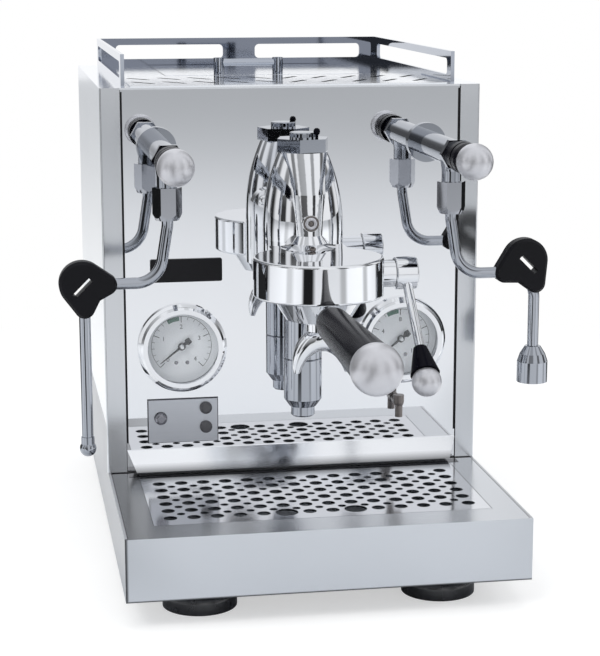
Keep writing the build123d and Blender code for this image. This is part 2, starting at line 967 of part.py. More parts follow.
def make_knob_base(side):
    """The black collar of a valve knob, with two rims and a tail, and its spindle."""
    x = side * valve_spread
    rim_start = knob_front_y + knob_cone
    groove_start = rim_start + knob_rim
    groove_end = groove_start + knob_groove
    tail_start = groove_end + knob_rim
    profile = [
        (0, knob_front_y),
        (knob_front_radius, knob_front_y),
        (knob_back_radius, rim_start),
        (knob_back_radius, groove_start),
        (knob_groove_radius, groove_start),
        (knob_groove_radius, groove_end),
        (knob_back_radius, groove_end),
        (knob_back_radius, tail_start),
        (knob_tail_radius, tail_start),
        (knob_tail_radius, knob_back_y),
        (0, knob_back_y),
    ]
    spindle = rod_y(spindle_radius, knob_back_y, bonnet_front_y + spindle_length, x, valve_z)
    return turned_y(profile, x, valve_z) + spindle


def cut_ball(radius, seat):
    """A ball that faces -Y, cut off flat at a distance behind its middle."""
    return Sphere(radius) - block(-radius, radius, seat, radius, -radius, radius)


def make_knob_ball(side):
    """The silver ball of a valve knob."""
    return Pos(side * valve_spread, knob_ball_y, valve_z) * cut_ball(knob_ball_radius, knob_seat)


def make_wand_pipe(side, wand_x, bottom):
    """A wand pipe with two elbows, from inside the valve outlet down to its end."""
    pivot_x = side * valve_spread
    route = [
        (pivot_x, outlet_y, outlet_bottom + pipe_top_length),
        (pivot_x, outlet_y, union_bottom - wand_lead),
        (pivot_x + side * wand_shift, outlet_y, wand_z),
        (side * wand_x, outlet_y, wand_z),
        (side * wand_x, outlet_y, bottom),
    ]
    return bent_rod(route, pipe_elbow, pipe_radius)


def make_steam_pipe():
    """The pipe of the steam wand."""
    return make_wand_pipe(-1, steam_x, steam_tip_z + steam_neck_length)


def make_water_pipe():
    """The pipe of the water wand."""
    return make_wand_pipe(1, water_x, nozzle_top - nozzle_socket)


def make_grip(side, wand_x, disc_out, disc_up, neck_in, neck_down, slot_shift, pipe):
    """A rubber grip round the elbow of a wand: a disc, two necks and a slanted slot."""
    x = side * wand_x
    half = grip_thickness / 2
    disc_x = x + side * disc_out
    disc = Pos(disc_x, wand_z + disc_up) * Circle(grip_disc_radius)
    outline = disc
    for end in [(x - side * neck_in, wand_z), (x, wand_z - neck_down)]:
        neck = Pos(*end) * Circle(grip_neck_radius)
        outline += make_hull(disc.edges() + neck.edges())
    start = Plane((0, outlet_y + half, 0), x_dir=(1, 0, 0), z_dir=(0, -1, 0))
    grip = extrude(start * outline, grip_thickness)
    grip = chamfer(grip.edges().filter_by(Axis.Y, reverse=True), grip_edge)
    slope = slot_shift / math.sqrt(2)
    slot_place = Pos(x + side * slope, outlet_y, wand_z - slope) * Rot(0, side * 45, 0)
    grip -= slot_place * Box(grip_slot_length, grip_thickness + overrun, grip_slot_width)
    return grip - pipe


def make_steam_tip():
    """The ball tip of the steam wand."""
    tip = Pos(-steam_x, outlet_y, steam_tip_z) * Sphere(steam_tip_radius)
    return tip + rod_z(steam_neck_radius, steam_tip_z, steam_tip_z + steam_neck_length, -steam_x, outlet_y)


def make_water_nozzle():
    """The bell-shaped nozzle of the water wand with a shallow mouth."""
    profile = [
        (0, nozzle_bottom + nozzle_mouth_depth),
        (nozzle_mouth_radius, nozzle_bottom + nozzle_mouth_depth),
        (nozzle_mouth_radius, nozzle_bottom),
        (nozzle_radius, nozzle_bottom),
        (nozzle_radius, nozzle_top - nozzle_shoulder),
        (nozzle_radius - nozzle_shoulder_inset, nozzle_top - nozzle_shoulder / 2),
        (nozzle_top_radius, nozzle_top),
        (pipe_radius, nozzle_top),
        (pipe_radius, nozzle_top - nozzle_socket),
        (0, nozzle_top - nozzle_socket),
    ]
    return turned_z(profile, water_x, outlet_y)


def make_group_flange():
    """The square flange that holds the group's neck against the front panel."""
    start = Plane((0, panel_y, neck_z), x_dir=(1, 0, 0), z_dir=(0, -1, 0))
    square = RectangleRounded(neck_flange_size, neck_flange_size, neck_flange_round)
    plate = extrude(start * square, neck_flange)
    for side in (-1, 1):
        plate += rod_y(tail_radius, panel_y, panel_y + tail_length, 0, neck_z + side * tail_spread)
    return plate


def make_tower():
    """The bell-shaped tower of the group on a straight foot."""
    foot = (tower_radius, neck_z)
    middle = (tower_middle_radius, tower_middle)
    top = (tower_top_radius, tower_top)
    sides = Polyline(top, (0, tower_top), (0, ring_bottom), (tower_radius, ring_bottom), foot)
    outline = make_face(sides + ThreePointArc(foot, middle, top))
    return Pos(0, tower_y, 0) * revolve(Plane.XZ * outline, Axis.Z)


def make_boss():
    """The round boss that stands out down the front of the tower, with a flared skirt."""
    foot = Plane((0, tower_y - boss_foot_lead, ring_top)) * Circle(boss_foot_radius)
    middle = Plane((0, tower_y - boss_middle_lead, tower_middle)) * Circle(boss_middle_radius)
    head = Plane((0, tower_y - boss_top_lead, tower_top)) * Circle(boss_top_radius)
    skirt = [
        (0, ring_top),
        (skirt_radius, ring_top),
        (skirt_middle_radius, ring_top + skirt_middle_rise),
        (boss_foot_radius, ring_top + skirt_rise),
        (0, ring_top + skirt_rise),
    ]
    return loft([foot, middle, head], ruled=True) + turned_z(skirt, 0, tower_y - boss_foot_lead)


def make_group_body():
    """The brew group: a ring with its chamber, a web, the tower with its boss and a neck."""
    ring = rod_z(ring_radius, ring_bottom, ring_top, 0, ring_y)
    body = fillet(ring.edges().filter_by(GeomType.CIRCLE), ring_round)
    body += block(-web_half, web_half, ring_y, tower_y, ring_bottom, ring_top)
    body += make_tower() + make_boss()
    body += rod_y(neck_radius, panel_y - neck_flange, tower_y, 0, neck_z)
    body -= rod_z(lip_radius, ring_bottom, lip_top, 0, ring_y)
    body -= rod_z(chamber_radius, lip_top, chamber_top, 0, ring_y)
    gate = Rot(0, 0, -lock_angle) * Box(2 * chamber_radius, 2 * (ear_half + ear_slot_gap), lip_height)
    gate = Pos(0, ring_y, ring_bottom + lip_height / 2) * gate
    return body - (gate & rod_z(chamber_radius, ring_bottom, lip_top, 0, ring_y))


def make_group_cap():
    """The hexagon cap of the tower with a round step on top."""
    base = tower_top + cap_hex
    cap = Pos(0, tower_y, tower_top) * Rot(0, 0, cap_turn) * extrude(hexagon(cap_flats), cap_hex)
    disc = rod_z(cap_disc_radius, base, base + cap_disc_height, 0, tower_y)
    return cap + fillet(disc.edges().sort_by(Axis.Z)[-1], cap_disc_round)


def make_jet_plug(body):
    """The round plug low on the tower's boss with a blind hole."""
    rise_share = jet_rise / (tower_middle - ring_top)
    foot_reach = boss_foot_lead + boss_foot_radius
    middle_reach = boss_middle_lead + boss_middle_radius
    face_y = tower_y - foot_reach - rise_share * (middle_reach - foot_reach)
    nose_y = face_y - jet_proud
    plug = rod_y(jet_radius, nose_y, face_y + jet_buried, 0, ring_top + jet_rise)
    plug -= rod_y(jet_hole_radius, nose_y, nose_y + jet_hole_depth, 0, ring_top + jet_rise)
    return plug - body


def make_gasket():
    """The rubber ring that the basket's rim seals against."""
    ring = rod_z(gasket_outer_radius, gasket_bottom, chamber_top, 0, ring_y)
    return ring - rod_z(gasket_inner_radius, gasket_bottom, chamber_top, 0, ring_y)


def make_shower_screen():
    """The round screen under the group's ceiling."""
    bottom = chamber_top - screen_drop
    screen = rod_z(screen_radius, bottom, bottom + screen_thickness, 0, ring_y)
    return screen + rod_z(screen_stub_radius, bottom + screen_thickness, chamber_top, 0, ring_y)


def make_cam_gland(body):
    """The hexagon and collar on the right of the group that hold the cam spindle."""
    end = hub_start - moving_gap
    gland = hex_x(gland_flats, ring_radius - gland_buried, ring_radius, cam_y, cam_z)
    gland += rod_x(gland_collar_radius, ring_radius, end, cam_y, cam_z)
    gland -= rod_x(lever_spindle_radius + running_gap, end - gland_bore_length, end, cam_y, cam_z)
    return gland - body


def make_exhaust_valve():
    """The cylinder under the tower with a joint line, a tapered end and a short spout."""
    shoulder = ring_bottom - exhaust_neck_length
    joint = shoulder - exhaust_upper_length
    bottom = joint - exhaust_lower_length
    spout_top = bottom - exhaust_taper
    spout_bottom = spout_top - exhaust_spout_length
    profile = [
        (0, ring_bottom),
        (exhaust_neck_radius, ring_bottom),
        (exhaust_neck_radius, shoulder),
        (exhaust_radius, shoulder),
        (exhaust_radius, joint + exhaust_groove),
        (exhaust_radius - exhaust_groove, joint),
        (exhaust_radius, joint - exhaust_groove),
        (exhaust_radius, bottom),
        (exhaust_taper_radius, spout_top),
        (exhaust_spout_radius, spout_top),
        (exhaust_spout_radius, spout_bottom + exhaust_spout_chamfer),
        (exhaust_spout_radius - exhaust_spout_chamfer, spout_bottom),
        (exhaust_outlet_radius, spout_bottom),
        (exhaust_outlet_radius, spout_bottom + exhaust_outlet_depth),
        (0, spout_bottom + exhaust_outlet_depth),
    ]
    return turned_z(profile, 0, tower_y)


def lever_place():
    """Place and turn of the lever, whose rod runs along -Y of its own frame."""
    return Pos(hub_start + hub_width / 2, cam_y, cam_z) * Rot(lever_drop, 0, 0)


def make_lever_hub():
    """The hub of the brew lever with its spindle and rod."""
    hub = rod_x(hub_radius, hub_start, hub_start + hub_width, cam_y, cam_z)
    hub = fillet(hub.edges().filter_by(GeomType.CIRCLE), fold_round)
    hub += rod_x(lever_spindle_radius, hub_start - lever_spindle_length, hub_start, cam_y, cam_z)
    hub += lever_place() * rod_y(lever_rod_radius, -lever_rod_length, 0, 0, 0)
    return hub


def make_lever_cone():
    """The black cone on the lever's rod."""
    profile = [
        (lever_rod_radius, -lever_cone_start),
        (lever_cone_small, -lever_cone_start),
        (lever_cone_large, -lever_cone_end),
        (0, -lever_cone_end),
        (0, -lever_rod_length),
        (lever_rod_radius, -lever_rod_length),
    ]
    return lever_place() * turned_y(profile, 0, 0)


def make_lever_ball():
    """The silver ball at the end of the lever."""
    ball = cut_ball(lever_ball_radius, lever_ball_seat)
    return lever_place() * Pos(0, -lever_cone_end - lever_ball_seat, 0) * ball


def make_portafilter_bowl():
    """The bowl with two ears, a stepped bore and the metal arm of the handle."""
    outside = [
        (0, bowl_base),
        (bowl_base_radius, bowl_base),
        (bowl_bottom_radius, bowl_bottom),
        (bowl_rim_radius - bowl_waist_step, bowl_waist),
        (bowl_rim_radius, bowl_waist),
        (bowl_rim_radius, bowl_rim_top),
        (0, bowl_rim_top),
    ]
    bowl = turned_z(outside, 0, ring_y)
    ears = Pos(0, ring_y, ear_bottom + ear_height / 2) * Box(2 * ear_radius, 2 * ear_half, ear_height)
    bowl += ears & rod_z(ear_radius, ear_bottom, ear_bottom + ear_height, 0, ring_y)
    bowl += rod_y(arm_radius, grip_front_y, ring_y - bowl_bottom_radius + arm_buried, 0, arm_z)
    bore = [
        (0, bowl_floor),
        (bowl_floor_radius, bowl_floor),
        (bowl_bore_radius, bowl_waist),
        (bowl_bore_radius, bowl_rim_top),
        (0, bowl_rim_top),
    ]
    bowl -= turned_z(bore, 0, ring_y)
    return bowl - rod_z(bowl_hole_radius, bowl_base, bowl_floor, 0, ring_y)


def make_filter_basket():
    """The sheet basket that hangs in the bowl by its flange."""
    inner = basket_radius - basket_sheet
    profile = [
        (0, basket_bottom),
        (bowl_floor_radius - basket_sheet, basket_bottom),
        (basket_radius, bowl_waist + basket_sheet),
        (basket_radius, bowl_rim_top),
        (basket_flange_radius, bowl_rim_top),
        (basket_flange_radius, bowl_rim_top + basket_flange),
        (inner, bowl_rim_top + basket_flange),
        (inner, bowl_waist + 2 * basket_sheet),
        (bowl_floor_radius - 2 * basket_sheet, basket_bottom + basket_sheet),
        (0, basket_bottom + basket_sheet),
    ]
    return turned_z(profile, 0, ring_y)


def make_spout():
    """A double spout: a boss and two arms that thin out as they curve down."""
    boss_bottom = bowl_bottom - spout_boss_height
    spout = rod_z(spout_boss_radius, boss_bottom, bowl_base, 0, ring_y)
    root_z = bowl_bottom - spout_arch_drop - spout_root_radius
    drop = root_z - bowl_bottom + spout_tip_drop
    for side in (-1, 1):
        sections = []
        for step in range(spout_steps + 1):
            share = step / spout_steps
            angle = 90 * share
            radius = spout_root_radius + share**2 * (spout_tip_radius - spout_root_radius)
            run = math.sin(math.radians(angle))
            fall = 1 - math.cos(math.radians(angle))
            x = spout_offset + side * spout_half * run
            z = root_z - drop * fall
            tangent = (side * spout_half * math.cos(math.radians(angle)), 0, -drop * run)
            sections.append(Plane((x, ring_y, z), x_dir=(0, 1, 0), z_dir=tangent) * Circle(radius))
        spout += loft(sections)
    return spout - rod_z(bowl_hole_radius, boss_bottom, bowl_base, 0, ring_y)


def make_portafilter_grip():
    """The black handle, which widens towards its ball."""
    profile = [
        (0, grip_front_y),
        (grip_start_radius, grip_front_y),
        (grip_waist_radius, grip_front_y - grip_waist),
        (grip_end_radius, grip_end_y),
        (0, grip_end_y),
    ]
    return turned_y(profile, 0, arm_z)


def make_portafilter_ball():
    """The silver ball at the end of the handle."""
    ball = cut_ball(portafilter_ball_radius, portafilter_ball_seat)
    return Pos(0, grip_end_y - portafilter_ball_seat, arm_z) * ball


def make_drip_tray():
    """The front plate and the rim of the tray, with a seat for the grid."""
    hole_x = grid_half_width + grid_gap
    hole_front_y = grid_front_y - grid_gap
    hole_back_y = grid_back_y + grid_gap
    rim_x = tub_x - tub_sheet - tray_side_gap
    tray = block(-tub_x, tub_x, front_y, tray_front_back_y, foot_height, rim_top)
    tray += block(-rim_x, rim_x, tray_front_back_y, tray_back_y, rim_top - tray_rim_sheet, rim_top)
    tray += block(-pan_x, pan_x, tray_front_back_y, tray_back_y, grid_seat_bottom, rim_top - tray_rim_sheet)
    tray -= block(-hole_x, hole_x, hole_front_y, hole_back_y, grid_seat_z, rim_top)
    inner_x = hole_x - grid_lip
    inner_front_y = hole_front_y + grid_lip
    return tray - block(-inner_x, inner_x, inner_front_y, hole_back_y - grid_lip, grid_seat_bottom, rim_top)


def make_tray_pan():
    """The pan under the rim of the tray."""
    floor_z = pan_bottom + tray_wall
    pan = block(-pan_x, pan_x, tray_front_back_y, tray_back_y, pan_bottom, grid_seat_bottom)
    inner_x = pan_x - tray_wall
    inner_front_y = tray_front_back_y + tray_wall
    return pan - block(-inner_x, inner_x, inner_front_y, tray_back_y - tray_wall, floor_z, grid_seat_bottom)


def make_drip_grid():
    """The flat grid: round holes in rows, small holes between them and two finger holes."""
    z_to = rim_top
    z_from = z_to - grid_thickness
    grid = block(-grid_half_width, grid_half_width, grid_front_y, grid_back_y, z_from, z_to)
    middle_column = (hole_columns - 1) / 2
    tools = []
    for row in range(hole_rows):
        hole_y = grid_front_y + first_hole_inset + row * hole_pitch_y
        for column in range(hole_columns):
            hole_x = (column - middle_column) * hole_pitch_x
            finger = row == 0 and abs(column - middle_column) == finger_column
            radius = finger_hole_radius if finger else hole_radius
            tools.append(rod_z(radius, z_from, z_to, hole_x, hole_y))
            if row < hole_rows - 1 and column < hole_columns - 1:
                small_x = hole_x + hole_pitch_x / 2
                small_y = hole_y + hole_pitch_y / 2
                tools.append(rod_z(small_hole_radius, z_from, z_to, small_x, small_y))
    return grid - tools


def make_drain_cock():
    """A small cock low on the front panel: a stub, a short outlet and a turned head."""
    nose = panel_y - drain_reach
    cock = rod_y(drain_radius, nose, panel_y + drain_tail, drain_x, drain_z)
    cock += Pos(drain_x, nose, drain_z) * Sphere(drain_radius)
    cock += rod_z(drain_tip_radius, drain_z - drain_length, drain_z, drain_x, nose)
    cock += rod_z(drain_knob_radius, drain_z, drain_z + drain_knob_length, drain_x, nose)
    return cock


def make_power_inlet():
    """The mains inlet in the back panel, a socket with three pins."""
    half_width = inlet_width / 2
    half_height = inlet_height / 2
    low_z = inlet_z - half_height
    high_z = inlet_z + half_height
    body = block(inlet_x - half_width, inlet_x + half_width, back_y - inlet_depth, back_y, low_z, high_z)
    body += block(
        inlet_x - half_width - inlet_margin,
        inlet_x + half_width + inlet_margin,
        back_y,
        back_y + inlet_flange,
        low_z - inlet_margin,
        high_z + inlet_margin,
    )
    body -= block(
        inlet_x - half_width + inlet_socket_margin,
        inlet_x + half_width - inlet_socket_margin,
        back_y + inlet_flange - inlet_socket_depth,
        back_y + inlet_flange,
        low_z + inlet_socket_margin,
        high_z - inlet_socket_margin,
    )
    socket_floor = back_y + inlet_flange - inlet_socket_depth
    for place in (-1, 0, 1):
        x = inlet_x + place * inlet_pin_spread
        body += rod_y(inlet_pin_radius, socket_floor, socket_floor + inlet_pin_length, x, inlet_z)
    return body


def make_boiler():
    """The lying boiler with bolted end flanges, on two legs that stand on the tub's floor."""
    half = boiler_length / 2
    boiler = rod_x(boiler_radius, -half, half, boiler_y, boiler_z)
    for side in (-1, 1):
        ends = sorted((side * half, side * (half + boiler_flange)))
        boiler += rod_x(boiler_flange_radius, ends[0], ends[1], boiler_y, boiler_z)
        leg_x = side * leg_spread
        boiler += block(
            leg_x - leg_thickness / 2,
            leg_x + leg_thickness / 2,
            boiler_y - leg_width / 2,
            boiler_y + leg_width / 2,
            floor_top,
            boiler_z,
        )
    return boiler


def make_boiler_pipes(boiler):
    """Two syphon pipes to the group and one supply pipe to each valve."""
    pipes = []
    for side in (-1, 1):
        height = neck_z + side * tail_spread
        syphon = rod_y(syphon_radius, panel_y + tail_length, boiler_y, 0, height)
        pipes.append(syphon - boiler)
    for side in (-1, 1):
        route = [
            (side * supply_spread, boiler_y, boiler_z),
            (side * supply_spread, boiler_y, valve_z),
            (side * valve_spread, boiler_y, valve_z),
            (side * valve_spread, panel_y + valve_tail_length, valve_z),
        ]
        pipes.append(bent_rod(route, supply_bend, supply_radius) - boiler)
    return pipes


def make_pump():
    """The pump on its foot."""
    half = pump_length / 2
    axis_z = floor_top + pump_lift + pump_radius
    pump = rod_x(pump_radius, pump_offset - half, pump_offset + half, boiler_y, axis_z)
    pump += block(
        pump_offset - pump_foot_length / 2,
        pump_offset + pump_foot_length / 2,
        boiler_y - pump_foot_width / 2,
        boiler_y + pump_foot_width / 2,
        floor_top,
        axis_z,
    )
    return pump


def make_water_tank():
    """An open tank with rounded corners that stands on the tub's floor."""
    tank = block(-tank_half_width, tank_half_width, tank_front_y, tank_back_y, tank_bottom, tank_top)
    tank = fillet(tank.edges().filter_by(Axis.Z), tank_round)
    hollow = block(
        -tank_half_width + tank_wall,
        tank_half_width - tank_wall,
        tank_front_y + tank_wall,
        tank_back_y - tank_wall,
        tank_bottom + tank_wall,
        tank_top,
    )
    return tank - fillet(hollow.edges().filter_by(Axis.Z), tank_round - tank_wall)


def make_tank_lid():
    """The flat lid that drops into the cup plate."""
    return block(
        -lid_half_width,
        lid_half_width,
        lid_front_y,
        lid_back_y,
        plate_bottom + moving_gap,
        casing_top + moving_gap,
    )


def make_lid_handle():
    """A bar on two pegs, fixed to the tank lid."""
    bar_y = lid_front_y + handle_bar_inset
    lid_top = casing_top + moving_gap
    bar_z = lid_top + handle_bar_height
    half = handle_bar_span / 2
    handle = rod_x(handle_bar_radius, handle_bar_offset - half, handle_bar_offset + half, bar_y, bar_z)
    peg_top = bar_z + handle_bar_radius + handle_peg_cap
    for side in (-1, 1):
        handle += rod_z(handle_peg_radius, lid_top, peg_top, handle_bar_offset + side * half, bar_y)
    return handle


def build_pieces():
    """Every piece of the machine by name."""
    pieces = {
        "base_tub": make_base_tub(),
        "foot_pads": make_foot_pads(),
        "foot_stems": make_foot_stems(),
        "side_panel_left": make_side_panel(-1),
        "side_panel_right": make_side_panel(1),
        "front_panel": make_front_panel(),
        "rear_panel": make_rear_panel(),
        "cup_plate": make_cup_plate(),
        "cup_rail_sides": [make_side_rail(-1), make_side_rail(1)],
        "cup_rail_rear": make_rear_rail(),
        "splash_ledge": make_splash_ledge(),
        "badge_plate": make_badge_plate(),
        "control_plate": make_control_plate(),
        "power_button": make_power_button(),
        "pilot_lamps": make_pilot_lamps(),
        "gauge_cases": make_gauge_cases(),
        "gauge_dials": make_gauge_dials(),
        "gauge_glasses": make_gauge_glasses(),
        "needle_left": make_needle(-1),
        "needle_right": make_needle(1),
        "valve_left": make_valve_body(-1),
        "valve_right": make_valve_body(1),
        "union_nuts": make_union_nuts(),
        "steam_knob_base": make_knob_base(-1),
        "steam_knob_ball": make_knob_ball(-1),
        "water_knob_base": make_knob_base(1),
        "water_knob_ball": make_knob_ball(1),
        "steam_tip": make_steam_tip(),
        "water_nozzle": make_water_nozzle(),
        "group_flange": make_group_flange(),
        "group_cap": make_group_cap(),
        "group_gasket": make_gasket(),
        "shower_screen": make_shower_screen(),
        "exhaust_valve": make_exhaust_valve(),
        "lever_hub": make_lever_hub(),
        "lever_cone": make_lever_cone(),
        "lever_ball": make_lever_ball(),
        "portafilter_bowl": make_portafilter_bowl(),
        "filter_basket": make_filter_basket(),
        "portafilter_spout": make_spout(),
        "portafilter_grip": make_portafilter_grip(),
        "portafilter_ball": make_portafilter_ball(),
        "drip_tray": make_drip_tray(),
        "tray_pan": make_tray_pan(),
        "drip_grid": make_drip_grid(),
        "drain_cock": make_drain_cock(),
        "power_inlet": make_power_inlet(),
        "boiler": make_boiler(),
        "pump": make_pump(),
        "water_tank": make_water_tank(),
        "tank_lid": make_tank_lid(),
        "lid_handle": make_lid_handle(),
    }
    group_body = make_group_body()
    pieces["group_body"] = group_body
    pieces["jet_plug"] = make_jet_plug(group_body)
    pieces["cam_gland"] = make_cam_gland(group_body)
    pieces["boiler_pipes"] = make_boiler_pipes(pieces["boiler"])
    steam_pipe = make_steam_pipe()
    water_pipe = make_water_pipe()
    pieces["steam_pipe"] = steam_pipe
    pieces["water_pipe"] = water_pipe
    pieces["steam_grip"] = make_grip(
        -1,
        steam_x,
        steam_disc_out,
        steam_disc_up,
        steam_neck_in,
        steam_neck_down,
        steam_slot_shift,
        steam_pipe,
    )
    pieces["water_grip"] = make_grip(
        1,
        water_x,
        water_disc_out,
        water_disc_up,
        water_neck_in,
        water_neck_down,
        water_slot_shift,
        water_pipe,
    )
    return pieces


os.makedirs("parts", exist_ok=True)
for node, shape in build_pieces().items():
    solids = shape if isinstance(shape, list) else shape.solids()
    solids = [solid for item in solids for solid in item.solids()]
    export_step(solids[0] if len(solids) == 1 else Compound(children=solids), f"parts/{node}.step")
    print(node, len(solids))
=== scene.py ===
import bpy
import bmesh
import math
from mathutils import Matrix, Vector


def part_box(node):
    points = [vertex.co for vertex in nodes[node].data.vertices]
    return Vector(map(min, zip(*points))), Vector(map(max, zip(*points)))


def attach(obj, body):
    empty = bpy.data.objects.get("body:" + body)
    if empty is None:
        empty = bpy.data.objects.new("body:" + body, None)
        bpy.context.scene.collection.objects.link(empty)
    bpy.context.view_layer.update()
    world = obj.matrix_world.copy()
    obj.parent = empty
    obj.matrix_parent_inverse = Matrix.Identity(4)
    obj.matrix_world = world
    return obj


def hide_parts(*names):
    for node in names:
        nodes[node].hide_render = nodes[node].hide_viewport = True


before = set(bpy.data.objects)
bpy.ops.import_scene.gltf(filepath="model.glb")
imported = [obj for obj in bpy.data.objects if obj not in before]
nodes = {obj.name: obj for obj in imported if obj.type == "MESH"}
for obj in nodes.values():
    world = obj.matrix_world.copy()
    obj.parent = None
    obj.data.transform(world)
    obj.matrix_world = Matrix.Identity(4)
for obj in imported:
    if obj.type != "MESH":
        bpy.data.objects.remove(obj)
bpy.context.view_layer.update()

# Small pieces are given in millimetres, the studio in metres
MM = 0.001


# Node trees

WHITE = (1, 1, 1, 1)


def clear_tree(owner, output_kind):
    """The emptied node tree of a material or world, and its new output."""
    owner.use_nodes = True
    tree = owner.node_tree
    tree.nodes.clear()
    return tree, tree.nodes.new(output_kind)


def add_node(tree, kind, values=None, **settings):
    """A shader node with its socket values and settings."""
    made = tree.nodes.new(kind)
    for name, value in settings.items():
        setattr(made, name, value)
    for name, value in (values or {}).items():
        made.inputs[name].default_value = value
    return made


def calculate(tree, operation, *sources):
    """A math node on patterns and fixed numbers."""
    made = add_node(tree, "ShaderNodeMath", operation=operation)
    for socket, source in zip(made.inputs, sources):
        if isinstance(source, float):
            socket.default_value = source
        else:
            tree.links.new(source, socket)
    return made.outputs[0]


def split_axes(tree, source):
    """The three axes of a direction or place, by name."""
    parts = tree.nodes.new("ShaderNodeSeparateXYZ")
    tree.links.new(source, parts.inputs["Vector"])
    return parts.outputs


def map_value(tree, source, low, high, from_low=0.25, from_high=0.75):
    """A pattern spread between two values."""
    spread = add_node(
        tree,
        "ShaderNodeMapRange",
        {"From Min": from_low, "From Max": from_high, "To Min": low, "To Max": high},
    )
    tree.links.new(source, spread.inputs["Value"])
    return spread.outputs["Result"]


def map_colour(tree, source, dark, light, from_low=0.3, from_high=0.7):
    """A pattern turned into a colour between two tones."""
    ramp = add_node(tree, "ShaderNodeValToRGB")
    ramp.color_ramp.elements[0].position = from_low
    ramp.color_ramp.elements[0].color = (*dark, 1)
    ramp.color_ramp.elements[1].position = from_high
    ramp.color_ramp.elements[1].color = (*light, 1)
    tree.links.new(source, ramp.inputs["Fac"])
    return ramp.outputs["Color"]


def mix_values(tree, first, second, share):
    """Two grey patterns mixed by a fixed share."""
    mixed = add_node(tree, "ShaderNodeMix", {0: share}, data_type="FLOAT")
    tree.links.new(first, mixed.inputs[2])
    tree.links.new(second, mixed.inputs[3])
    return mixed.outputs[0]


def mix_colours(tree, share, first, second):
    """Two colours mixed by a pattern."""
    mixed = add_node(tree, "ShaderNodeMix", data_type="RGBA")
    tree.links.new(share, mixed.inputs[0])
    for socket, source in ((mixed.inputs[6], first), (mixed.inputs[7], second)):
        if isinstance(source, tuple):
            socket.default_value = source
        else:
            tree.links.new(source, socket)
    return mixed.outputs[2]


def mix_shaders(tree, share, first, second):
    """Two shaders mixed by a pattern."""
    mixed = tree.nodes.new("ShaderNodeMixShader")
    for socket, source in zip(mixed.inputs, (share, first, second)):
        tree.links.new(source, socket)
    return mixed.outputs[0]


# Materials

# Stretch of a brushed grain that runs across the object or up it, its share of the marks and its relief
ALONG_X = (9, 2600, 2600)
ALONG_Z = (2600, 2600, 9)
GRAIN_SHARE = 0.7
GRAIN_DEPTH = 0.0001

# Fine pits of metal without a grain
PIT_SCALE = 420.0
PIT_DEPTH = 0.00003

# Between these values of a face's normal the painted shade of tops sets in, and the painted shade of fronts
# ends
TOP_TURN = (0.5, 0.8)
FRONT_TURN = (-0.8, -0.5)

# Shares of a piece's width and height where the painted shade along its left and lower edge ends
LEFT_SHADE_SHARES = (0.003, 0.008)
LOWER_SHADE_SHARES = (0.010, 0.030)

# Marks and relief of moulded pieces
MARK_SCALE = 45.0
MOULD_DEPTH = 0.00015
COAT_ROUGHNESS = 0.08

# Streaks in the gloss of clear sheets, drawn out upwards, and the spread of its roughness
STREAK_SCALE = 60.0
STREAK_STRETCH = (1, 1, 0.3)
STREAK_SPREAD = 2.5
CLEAR_IOR = 1.5


def new_material(name):
    """An empty material with its principled shader."""
    material = bpy.data.materials.new(name)
    tree, output = clear_tree(material, "ShaderNodeOutputMaterial")
    shader = tree.nodes.new("ShaderNodeBsdfPrincipled")
    tree.links.new(shader.outputs["BSDF"], output.inputs["Surface"])
    return material, tree, shader


def noise(tree, coordinates, scale, detail=3.0, stretch=(1, 1, 1), rough=0.5):
    """Noise on the object's own coordinates, stretched along some axes."""
    mapping = add_node(tree, "ShaderNodeMapping", {"Scale": stretch})
    texture = add_node(tree, "ShaderNodeTexNoise", {"Scale": scale, "Detail": detail, "Roughness": rough})
    tree.links.new(coordinates.outputs["Object"], mapping.inputs["Vector"])
    tree.links.new(mapping.outputs["Vector"], texture.inputs["Vector"])
    return texture.outputs["Fac"]


def add_bump(tree, shader, source, strength, distance):
    """Fine relief from a pattern."""
    bump = add_node(tree, "ShaderNodeBump", {"Strength": strength, "Distance": distance})
    tree.links.new(source, bump.inputs["Height"])
    tree.links.new(bump.outputs["Normal"], shader.inputs["Normal"])


def shade(colour, factor):
    """A colour made darker or lighter."""
    return tuple(min(1.0, channel * factor) for channel in colour)


def opaque(colour, factor):
    """A colour made darker or lighter, with its alpha."""
    return (*shade(colour, factor), 1)


def toned(tree, coordinates, colour, plain, top, front, shade_fade, edge_shade):
    """The plain tint of a metal with painted shade on its top and front, along a fade and at its left and
    lower edges.
    """
    tint = plain
    # Painted shade on upper faces
    if top != 1.0:
        normal = split_axes(tree, coordinates.outputs["Normal"])
        upper = map_value(tree, normal["Z"], 0.0, 1.0, *TOP_TURN)
        tint = mix_colours(tree, upper, tint, opaque(colour, top))
    # Painted shade on faces turned to the front
    if front != 1.0:
        normal = split_axes(tree, coordinates.outputs["Normal"])
        ahead = map_value(tree, normal["Y"], 1.0, 0.0, *FRONT_TURN)
        tint = mix_colours(tree, ahead, tint, opaque(colour, front))
    # Painted shade along an axis
    if shade_fade:
        axis, dark, start, end = shade_fade
        place = split_axes(tree, coordinates.outputs["Generated"])
        share = map_value(tree, place[axis], 0.0, 1.0, start, end)
        tint = mix_colours(tree, share, opaque(colour, dark), tint)
        if top != 1.0:
            tint = mix_colours(tree, upper, plain, tint)
    # A band of painted shade along the left and lower edges
    if edge_shade != 1.0:
        place = split_axes(tree, coordinates.outputs["Generated"])
        aside = map_value(tree, place["X"], 0.0, 1.0, *LEFT_SHADE_SHARES)
        above = map_value(tree, place["Z"], 0.0, 1.0, *LOWER_SHADE_SHARES)
        inner = calculate(tree, "MINIMUM", aside, above)
        tint = mix_colours(tree, inner, opaque(colour, edge_shade), tint)
    return tint


